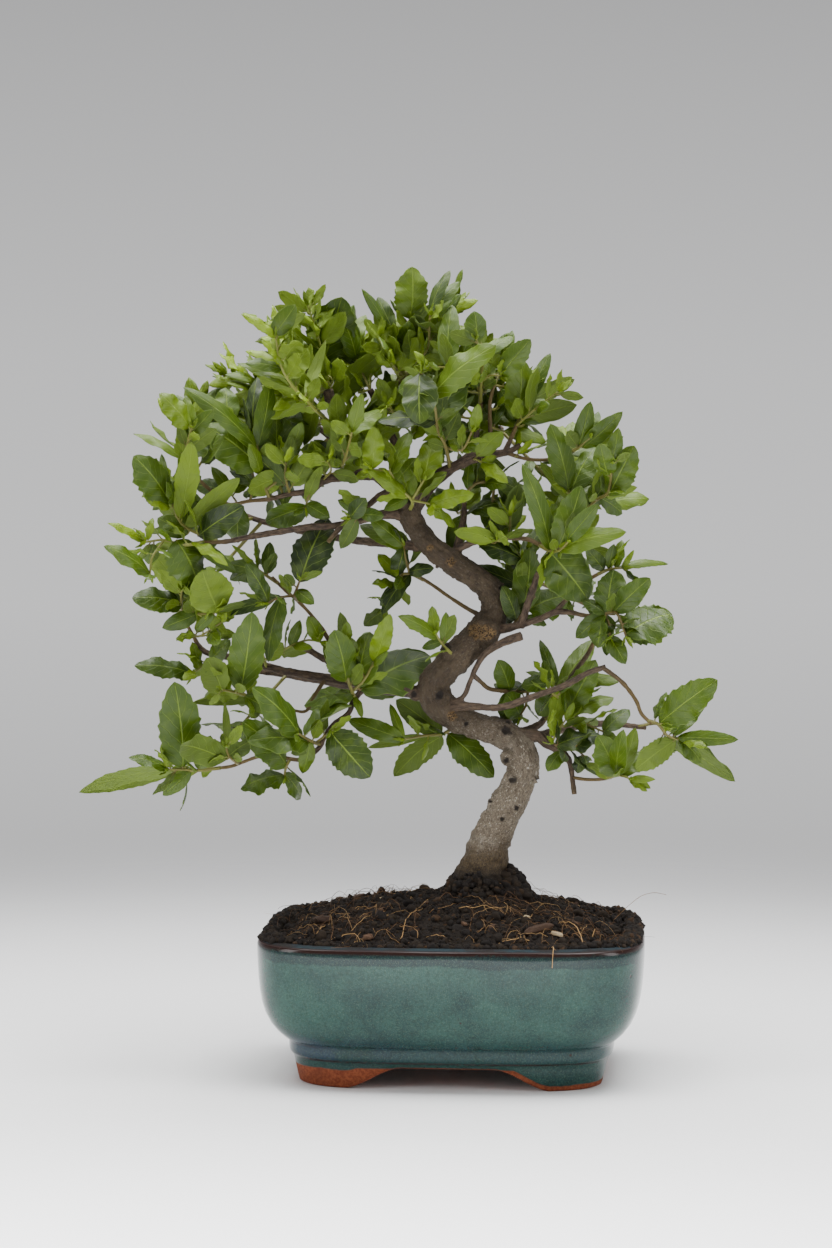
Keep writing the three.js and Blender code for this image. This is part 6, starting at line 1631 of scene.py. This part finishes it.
def add_blade(shape, leaf, draw, thickness, light=False):
    """The blade as a closed thin sheet with a sunk midrib, waved sides and a toothed edge. A
    light one has fewer faces."""
    toothed = "t" in leaf.marks
    young = leaf.tone >= 7
    broad = leaf.width >= 10
    teeth = (8 if toothed else 7) if leaf.length > 20 else 4
    bite = 0.16 if toothed else 0.12 if young else 0.075
    rows = teeth * 3 + 3 if broad else teeth * 2 + 4
    sides = (0.36, 0.7, 0.94, 1) if broad else (0.5, 0.92, 1)
    if light:
        rows = 9
        sides = (0.6, 1)
    columns = [-v for v in reversed(sides)] + [0.0, *sides]
    ripple = (0.2 if young else 0.09) * (1 + 0.4 * draw.random())
    phase = draw.uniform(0, 6.28)
    top, bottom = [], []
    for i in range(rows + 1):
        u = i / rows
        half = max(half_width(u, teeth, bite) * leaf.width / 2, 0.3 * (1 - u) + 0.12)
        wave = WAVE * 0.7 * math.cos(4 * math.pi * (u - 0.16))
        for v in columns:
            reach = abs(v) * half
            side = 1 if v > 0 else -1
            lift = (side * wave - FOLD) * reach
            lift += ripple * reach * math.sin(2 * math.pi * u * 2.6 + phase + side)
            quilt = math.cos(2 * math.pi * SIDE_VEINS * (u - 0.3 * abs(v)))
            lift += 0.014 * leaf.width * quilt * math.sin(math.pi * min(abs(v) * 1.1, 1))
            across = v * half
            if "f" in leaf.marks and v > 0:
                lift += 1.25 * reach
                across *= 0.55
            if v == 0:
                lift -= 0.25 * (1 - u) * min(1, leaf.width / 10)
            thick = thickness * (0.9 - 0.55 * abs(v)) + (0.3 * (1 - u) if v == 0 else 0)
            middle = leaf.at(u, across, lift)
            top.append(middle + leaf.upper * (thick / 2))
            bottom.append(middle - leaf.upper * (thick / 2))
    faces = sheet_faces(rows, len(columns))
    spots = [
        (i / rows, v, layer) for layer in (0.0, 1.0) for i in range(rows + 1) for v in columns
    ]
    # The way across is to the left of the upper side on some leaves
    if leaf.along.cross(leaf.across).dot(leaf.upper) > 0:
        faces = [tuple(reversed(face)) for face in faces]
    shape.add(
        top + bottom, faces, blade=spots, tone=leaf.tone / 9, shade=draw.random(), stem=0.0,
    )


def leafy_shape():
    return Shape(blade="FLOAT_VECTOR", tone="FLOAT", shade="FLOAT", stem="FLOAT")


def add_rod(shape, points, radii, sides, tone):
    rods, faces, _ = tube(points, radii, sides)
    shape.add(rods, faces, blade=(0.5, 0.0, 0.0), tone=tone, shade=0.5, stem=1.0)


def add_petiole(shape, leaf):
    if (leaf.base - leaf.spot).length < 0.6:
        return
    middle = (leaf.spot + leaf.base) / 2 - leaf.upper * 0.3
    radius = 0.34 + 0.012 * leaf.width
    ends = [leaf.spot, middle, leaf.base, leaf.base + leaf.along * min(2, leaf.length * 0.15)]
    add_rod(shape, ends, [radius * 1.25, radius, radius * 0.9, radius * 0.5], 5, leaf.tone / 9)


def add_bud(shape, tip, heading, draw, thickness, size=1.0):
    """A few small leaves that open at the end of a stem."""
    side = heading.cross(Vector((0.3, -1, 0.2))).normalized()
    for k in range(draw.choice((2, 3)) + round(size)):
        out = Matrix.Rotation(2.1 * k + draw.uniform(0, 1), 3, heading) @ side
        along = (heading + out * draw.uniform(0.35, 0.8)).normalized()
        length = draw.uniform(4, 7) * size
        width = draw.uniform(1.5, 2.4) * size
        leaf = free_leaf(tip, tip, along, out, length, width, draw.uniform(7, 9))
        add_blade(shape, leaf, draw, thickness, True)


def clothe(shape, points, draw, thickness, tone, spacing=5.4, start=0.25, size=1.0, light=False):
    """Small leaves that stand round a stem in the plant's own spiral, young towards its end."""
    run = draw.uniform(0, spacing)
    length = sum((b - a).length for a, b in zip(points, points[1:]))
    place = 0.0
    spiral = draw.uniform(0, 6.28)
    for i, (point, (along, side, other)) in enumerate(zip(points, frames_along(points))):
        if i:
            step = (point - points[i - 1]).length
            run += step
            place += step
        if run < spacing or place < start * length:
            continue
        run -= spacing
        spiral += 2.4
        out = side * math.cos(spiral) + other * math.sin(spiral)
        out = (out + Vector((0, 0, 0.35))).normalized()
        share = place / length
        marks = draw.choice(("", "t"))
        own_tone = clamp(tone + draw.uniform(-3, 2.4) + 1.5 * share, 1, 9)
        way = (along * draw.uniform(0.5, 1.1) + out).normalized()
        base = point + way * draw.uniform(1.5, 3)
        blade = draw.uniform(12, 22) * (1.05 - 0.4 * share) * size
        width = blade * draw.uniform(0.38, 0.55)
        facing = out + Vector((0, 0, 0.6))
        leaf = free_leaf(point, base, way, facing, blade, width, own_tone, marks)
        add_petiole(shape, leaf)
        add_blade(shape, leaf, draw, thickness, light)


def leaf_finish(settings):
    """Glossy green above, pale and dull beneath, with lighter veins and margin."""
    f = Finish("leaf", Specular_IOR_Level=0.3)
    at = f.place()
    spot = f.attribute("blade", "Vector")
    u, v, under = f.split(spot)
    tone = f.attribute("tone")
    shade = f.attribute("shade")
    stem = f.attribute("stem")
    side = v.math("ABSOLUTE")
    patch = f.noise(at, 0.16, 3, 0.6)
    fine = f.noise(at, 1.3, 3, 0.6)
    old, mid, young = (tuple(c) for c in (settings.old, settings.grown, settings.young))
    color = f.blend(tone.ramp(0.05, 0.5), old, mid)
    color = f.blend(tone.ramp(0.5, 1), color, young)
    color = f.blend(shade.ramp(0, 1) * 0.35, color, hue(40, 62, 6))
    color = f.blend(patch.ramp(0.42, 0.7) * 0.25, color, hue(94, 114, 14))
    beneath = f.blend(tone.ramp(0.1, 0.9), hue(52, 68, 26), hue(98, 120, 18))
    beneath = f.blend(patch.ramp(0.4, 0.7) * 0.3, beneath, hue(74, 90, 42))
    color = f.blend(under.ramp(0.4, 0.6), color, beneath)
    rib = side.ramp(0.06, 0.015)
    phase = ((u - side * 0.3) * SIDE_VEINS + 0.5).math("FRACT")
    vein = (phase - 0.5).math("ABSOLUTE").ramp(0.06, 0.01) * side.ramp(0.95, 0.7)
    margin = side.ramp(0.95, 0.99) * (fine * 0.6 + 0.4)
    lines = (vein * 0.3).math("MAXIMUM", rib * 0.62).math("MAXIMUM", margin * 0.4)
    color = f.blend(lines * (1 - stem), color, hue(120, 142, 44))
    twig = f.blend(tone.ramp(0.2, 0.9), hue(88, 72, 42), hue(120, 126, 56))
    color = f.blend(stem, color, twig)
    height = (vein * -0.6 - rib * 0.8 + fine * 0.35 + patch * 0.4) * (1 - stem)
    rough = under.ramp(0.4, 0.6) * 0.2 + fine * 0.12 + 0.38
    return f.finish(color, rough, height, 0.22)


def corner_tree(name):
    """A node's vertices, by which the one nearest to a place is found."""
    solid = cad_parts[name]
    tree = KDTree(len(solid.data.vertices))
    for vertex in solid.data.vertices:
        tree.insert(vertex.co, vertex.index)
    tree.balance()
    return tree


def grown(name, stems, leaves, order, solid_count, settings, finish, draw):
    """One shoot: its stem lines, its leaves on their petioles and the buds at its ends."""
    stems = swayed(stems, SWAYS[order % len(SWAYS)])
    shape = leafy_shape()
    thickness = settings.thickness / MM
    mean_tone = sum(leaf[5] for leaf in leaves) / len(leaves) / 9
    for number, line in enumerate(stems):
        points = [Vector(p) for p in smooth_line([tuple(seen(p)) for p in line], 3)]
        thick = 1.05 if number == 0 else 0.8
        add_rod(shape, points, list(np.linspace(thick, 0.5, len(points))), 6, mean_tone)
        add_bud(shape, points[-1], (points[-1] - points[-2]).normalized(), draw, thickness)
        clothe(shape, points, draw, thickness, mean_tone * 9)
    tree = corner_tree(name)
    for index, given in enumerate(leaves):
        spot = nearest_on_stem(stems, given[0], given[1])
        size = math.hypot(given[2] - given[0], given[3] - given[1]) * given[4]
        if size > SMALLEST and index < solid_count:
            leaf = bend_in_solid(given, index, spot, tree)
        elif size <= SMALLEST * 1.4:
            leaf = drawn_leaf(given, index, spot)
        else:
            continue
        add_petiole(shape, leaf)
        add_blade(shape, leaf, draw, thickness)
    keep(shape.piece("leaves_" + name, finish), "leaf", name)


def make_sprigs(settings, finish):
    """Thin sprigs from the nearest bough to each marked place, clothed in small leaves."""
    draw = random.Random(23)
    shape = leafy_shape()
    wood = [Vector(p[:3]) for line in BOUGHS for p in smooth_line(line, 4)]
    thickness = settings.thickness / MM
    for x, z, tone in SPRIGS:
        tip = Vector((x, z, draw.uniform(-20, 30)))
        root = min(wood, key=lambda p: (p - tip).length + 0.8 * max(0, p.y - z))
        bow = Vector((draw.uniform(-4, 4), draw.uniform(-5, 1), draw.uniform(-4, 4)))
        ends = [root, root.lerp(tip, 0.5) + bow, tip]
        points = [Vector(p) for p in smooth_line([tuple(seen(p)) for p in ends], 2.4)]
        add_rod(shape, points, list(np.linspace(0.75, 0.4, len(points))), 5, tone / 9)
        start = max(0.1, 1 - 26 / max(27.0, (points[-1] - points[0]).length))
        clothe(shape, points, draw, thickness, tone, 4.3, start, 1.3, True)
        heading = (points[-1] - points[-2]).normalized() + Vector((0, 0, 0.7))
        add_bud(shape, points[-1], heading.normalized(), draw, thickness, 1.7)
    keep(shape.piece("crown_sprigs", finish), "leaf")


def make_shoots(settings):
    draw = random.Random(17)
    finish = leaf_finish(settings)
    make_sprigs(settings, finish)
    shoots = [(*shoot, len(shoot[2])) for shoot in SHOOTS]
    shoots += [(*far_shoot(*shoot), FAR_LEAVES) for shoot in FAR_SHOOTS]
    for order, (name, stems, leaves, solid_count) in enumerate(shoots):
        grown(name, stems, leaves, order, solid_count, settings, finish, draw)


# The stage


def make_floor(settings):
    """A pale round floor whose edge fades away, with painted light: its colour darkens away from the
    viewer as painted shade, and it glows near the viewer as a painted pool of light.
    """
    reaches = [1200, 1000, 800, 600, 400, 200]
    around = [2 * math.pi * k / 96 for k in range(96)]
    points = [Vector((r * math.cos(t), r * math.sin(t), 0)) for r in reaches for t in around]
    faces = ring_faces(len(reaches), len(around))
    faces.append(tuple(range(len(points) - len(around), len(points))))
    disc = Shape()
    disc.add(points, faces)
    f = Finish("backdrop", Roughness=0.9, Specular_IOR_Level=0.1, Emission_Strength=3.6)
    x, y, _ = f.split(f.place())
    # Painted shade: the floor's colour darkens from near the viewer to the backdrop colour far
    # behind, in place of the light's falloff
    floor_with_painted_shade = f.blend(y.ramp(-250, 750), hue(246, 246, 246), tuple(settings.backdrop))
    # Painted light: the floor glows near the viewer, a painted pool of light in front of the tree
    painted_light_pool = f.blend(y.ramp(-120, -560), (0.0, 0.0, 0.0), hue(232, 232, 234))
    f.feed("Emission Color", painted_light_pool)
    f.feed("Alpha", (x * x + y * y).math("SQRT").ramp(1100, 420))
    disc.piece("backdrop", f.finish(floor_with_painted_shade))


def make_sky(settings):
    """A grey sky that is lightest level with the tree and darkens overhead."""
    world = bpy.data.worlds.new("studio")
    bpy.context.scene.world = world
    world.use_nodes = True
    tree = world.node_tree
    direction = add_node(tree, "ShaderNodeTexCoord").outputs["Generated"]
    split = add_node(tree, "ShaderNodeSeparateXYZ", None, {0: direction})
    height = add_node(tree, "ShaderNodeMapRange", None, {
        "Value": split.outputs["Z"], "From Min": -1,
    })
    bands = add_node(tree, "ShaderNodeValToRGB", None, {"Fac": height.outputs[0]})
    ramp = bands.color_ramp
    for place in (0.44, 0.485, 0.53, 0.6, 0.7):
        ramp.elements.new(place)
    for mark, level in zip(ramp.elements, (0.6, 0.66, 0.8, 0.74, 0.5, 0.3, 0.3)):
        mark.color = (*(c * level for c in settings.ambient), 1)
    background = tree.nodes["Background"]
    feed(tree, background.inputs["Color"], bands.outputs["Color"])
    feed(tree, background.inputs["Strength"], settings.ambient_strength)


def add_box(name, place, target, width, height, energy):
    """A soft box at a place, aimed at another."""
    light = bpy.data.lights.new(name, "AREA")
    light.shape = "RECTANGLE"
    light.size = width * MM
    light.size_y = height * MM
    light.energy = energy
    lamp = bpy.data.objects.new(name, light)
    lamp.location = Vector(place) * MM
    aim = Vector(target) * MM - lamp.location
    lamp.rotation_euler = aim.to_track_quat("-Z", "Y").to_euler()
    bpy.context.scene.collection.objects.link(lamp)


def make_camera():
    """The camera that the photograph was taken with, as near as it can be told."""
    lens = bpy.data.cameras.new("camera")
    lens.sensor_fit = "VERTICAL"
    lens.sensor_height = 36
    lens.sensor_width = 24
    lens.lens = 75
    lens.clip_end = 20
    camera = bpy.data.objects.new("camera", lens)
    camera.location = EYE_POINT * MM
    aim = TURN @ AIM + SPREAD_MIDDLE - EYE_POINT
    camera.rotation_euler = aim.to_track_quat("-Z", "Y").to_euler()
    bpy.context.scene.collection.objects.link(camera)
    bpy.context.scene.camera = camera


def make_stage(settings):
    make_floor(settings)
    make_sky(settings)
    add_box("top_box", (0, 40, 1250), (0, 20, 0), 1400, 1000, settings.light)
    add_box("left_box", (-1150, -650, 600), (0, 0, 150), 500, 900, settings.light * 0.15)
    add_box("right_box", (1150, -450, 600), (0, 0, 150), 450, 900, settings.light * 0.13)
    make_camera()


# Settings, operators and panel


def colour_setting(name, description, red, green, blue):
    return FloatVectorProperty(
        name=name, description=description, subtype="COLOR", size=3, min=0, max=1,
        default=hue(red, green, blue),
    )


class BonsaiPotSettings(bpy.types.PropertyGroup):
    deep: colour_setting("Deep glaze", "Colour where the glaze lies thick", 13, 46, 47)
    light: colour_setting("Light glaze", "Colour of the lighter patches", 42, 78, 70)
    unevenness: FloatProperty(
        name="Unevenness", description="How far the hand-made wall strays from its outline",
        default=0.0006, min=0, max=0.003, unit="LENGTH",
    )


class BonsaiSoilSettings(bpy.types.PropertyGroup):
    dark: colour_setting("Wet peat", "Colour of the dark crumbs", 16, 11, 8)
    brown: colour_setting("Dry peat", "Colour of the dry crumbs", 34, 25, 14)
    crumbs: FloatProperty(
        name="Crumbs", description="Crumbs on a square metre of the mound", default=380000, min=0,
        max=600000,
    )
    fibres: IntProperty(
        name="Fibres", description="Fine coir fibres strewn at random", default=640, min=0,
        max=1000,
    )


class BonsaiWoodSettings(bpy.types.PropertyGroup):
    dark: colour_setting("Furrows", "Colour in the bark's furrows", 40, 32, 24)
    brown: colour_setting("Bark", "Colour of the upper trunk", 64, 53, 38)
    pale: colour_setting("Pale bark", "Colour of the lower trunk", 114, 103, 87)
    ridges: FloatProperty(
        name="Ridges", description="How far the bark's ridges stand out on the trunk",
        default=0.001, min=0, max=0.004, unit="LENGTH",
    )


class BonsaiLeafSettings(bpy.types.PropertyGroup):
    old: colour_setting("Old leaves", "Upper side of old leaves", 26, 40, 12)
    grown: colour_setting("Grown leaves", "Upper side of grown leaves", 58, 80, 4)
    young: colour_setting("Young leaves", "Upper side of young leaves", 114, 138, 8)
    thickness: FloatProperty(
        name="Thickness", description="Thickness of a leaf beside its midrib", default=0.0004,
        min=0.0002, max=0.001, unit="LENGTH",
    )


class BonsaiStageSettings(bpy.types.PropertyGroup):
    # The backdrop colour is painted shade: the floor's colour fades to it away from the viewer
    backdrop: colour_setting("Backdrop", "Colour of the floor far behind the tree", 170, 170, 171)
    ambient: colour_setting("Sky", "Colour of the sky all round", 254, 254, 255)
    ambient_strength: FloatProperty(
        name="Sky strength", description="Strength of the light from the sky", default=1,
        min=0, max=5,
    )
    light: FloatProperty(
        name="Light", description="Power of the box above the tree, in watts", default=52, min=0,
        max=500,
    )


class BONSAI_OT_pot(bpy.types.Operator):
    """Makes the glazed pot on its four corner feet"""

    bl_idname = "bonsai.make_pot"
    bl_label = "Pot"

    def execute(self, context):
        make_pot(context.scene.bonsai_pot)
        return {"FINISHED"}


class BONSAI_OT_soil(bpy.types.Operator):
    """Makes the mound of soil in the pot"""

    bl_idname = "bonsai.make_soil"
    bl_label = "Soil"

    def execute(self, context):
        make_soil(context.scene.bonsai_soil)
        return {"FINISHED"}


class BONSAI_OT_litter(bpy.types.Operator):
    """Strews crumbs, coir fibres and bark chips over the soil"""

    bl_idname = "bonsai.make_litter"
    bl_label = "Crumbs, fibres and chips"

    def execute(self, context):
        make_crumbs(context.scene.bonsai_soil)
        make_fibres(context.scene.bonsai_soil)
        make_chips()
        return {"FINISHED"}


class BONSAI_OT_wood(bpy.types.Operator):
    """Makes the trunk, the boughs and the twigs with their bark"""

    bl_idname = "bonsai.make_wood"
    bl_label = "Wood"

    def execute(self, context):
        make_wood(context.scene.bonsai_wood)
        return {"FINISHED"}


class BONSAI_OT_shoots(bpy.types.Operator):
    """Makes every leafy shoot"""

    bl_idname = "bonsai.make_shoots"
    bl_label = "Leafy shoots"

    def execute(self, context):
        make_shoots(context.scene.bonsai_leaf)
        return {"FINISHED"}


class BONSAI_OT_stage(bpy.types.Operator):
    """Sets up the floor, the sky, the lights and the camera"""

    bl_idname = "bonsai.set_stage"
    bl_label = "Stage"

    def execute(self, context):
        make_stage(context.scene.bonsai_stage)
        return {"FINISHED"}


class BONSAI_PT_panel(bpy.types.Panel):
    """The bonsai's settings and the steps that make it"""

    bl_label = "Cork oak bonsai"
    bl_space_type = "VIEW_3D"
    bl_region_type = "UI"
    bl_category = "Bonsai"

    def draw(self, context):
        for name, group in SETTINGS.items():
            box = self.layout.box()
            box.label(text=name.removeprefix("bonsai_").title())
            for field in group.__annotations__:
                box.prop(getattr(context.scene, name), field)
        for operator in OPERATORS:
            self.layout.operator(operator.bl_idname)


SETTINGS = {
    "bonsai_pot": BonsaiPotSettings,
    "bonsai_soil": BonsaiSoilSettings,
    "bonsai_wood": BonsaiWoodSettings,
    "bonsai_leaf": BonsaiLeafSettings,
    "bonsai_stage": BonsaiStageSettings,
}
OPERATORS = [
    BONSAI_OT_stage, BONSAI_OT_pot, BONSAI_OT_soil, BONSAI_OT_litter, BONSAI_OT_wood,
    BONSAI_OT_shoots,
]


def register():
    for kind in [*SETTINGS.values(), *OPERATORS, BONSAI_PT_panel]:
        bpy.utils.register_class(kind)
    for name, group in SETTINGS.items():
        setattr(bpy.types.Scene, name, PointerProperty(type=group))


def unregister():
    for name in SETTINGS:
        delattr(bpy.types.Scene, name)
    for kind in reversed([*SETTINGS.values(), *OPERATORS, BONSAI_PT_panel]):
        bpy.utils.unregister_class(kind)


def main():
    register()
    bpy.ops.bonsai.set_stage()
    bpy.ops.bonsai.make_pot()
    bpy.ops.bonsai.make_soil()
    bpy.ops.bonsai.make_litter()
    bpy.ops.bonsai.make_wood()
    bpy.ops.bonsai.make_shoots()
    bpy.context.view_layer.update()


if __name__ == "__main__":
    main()
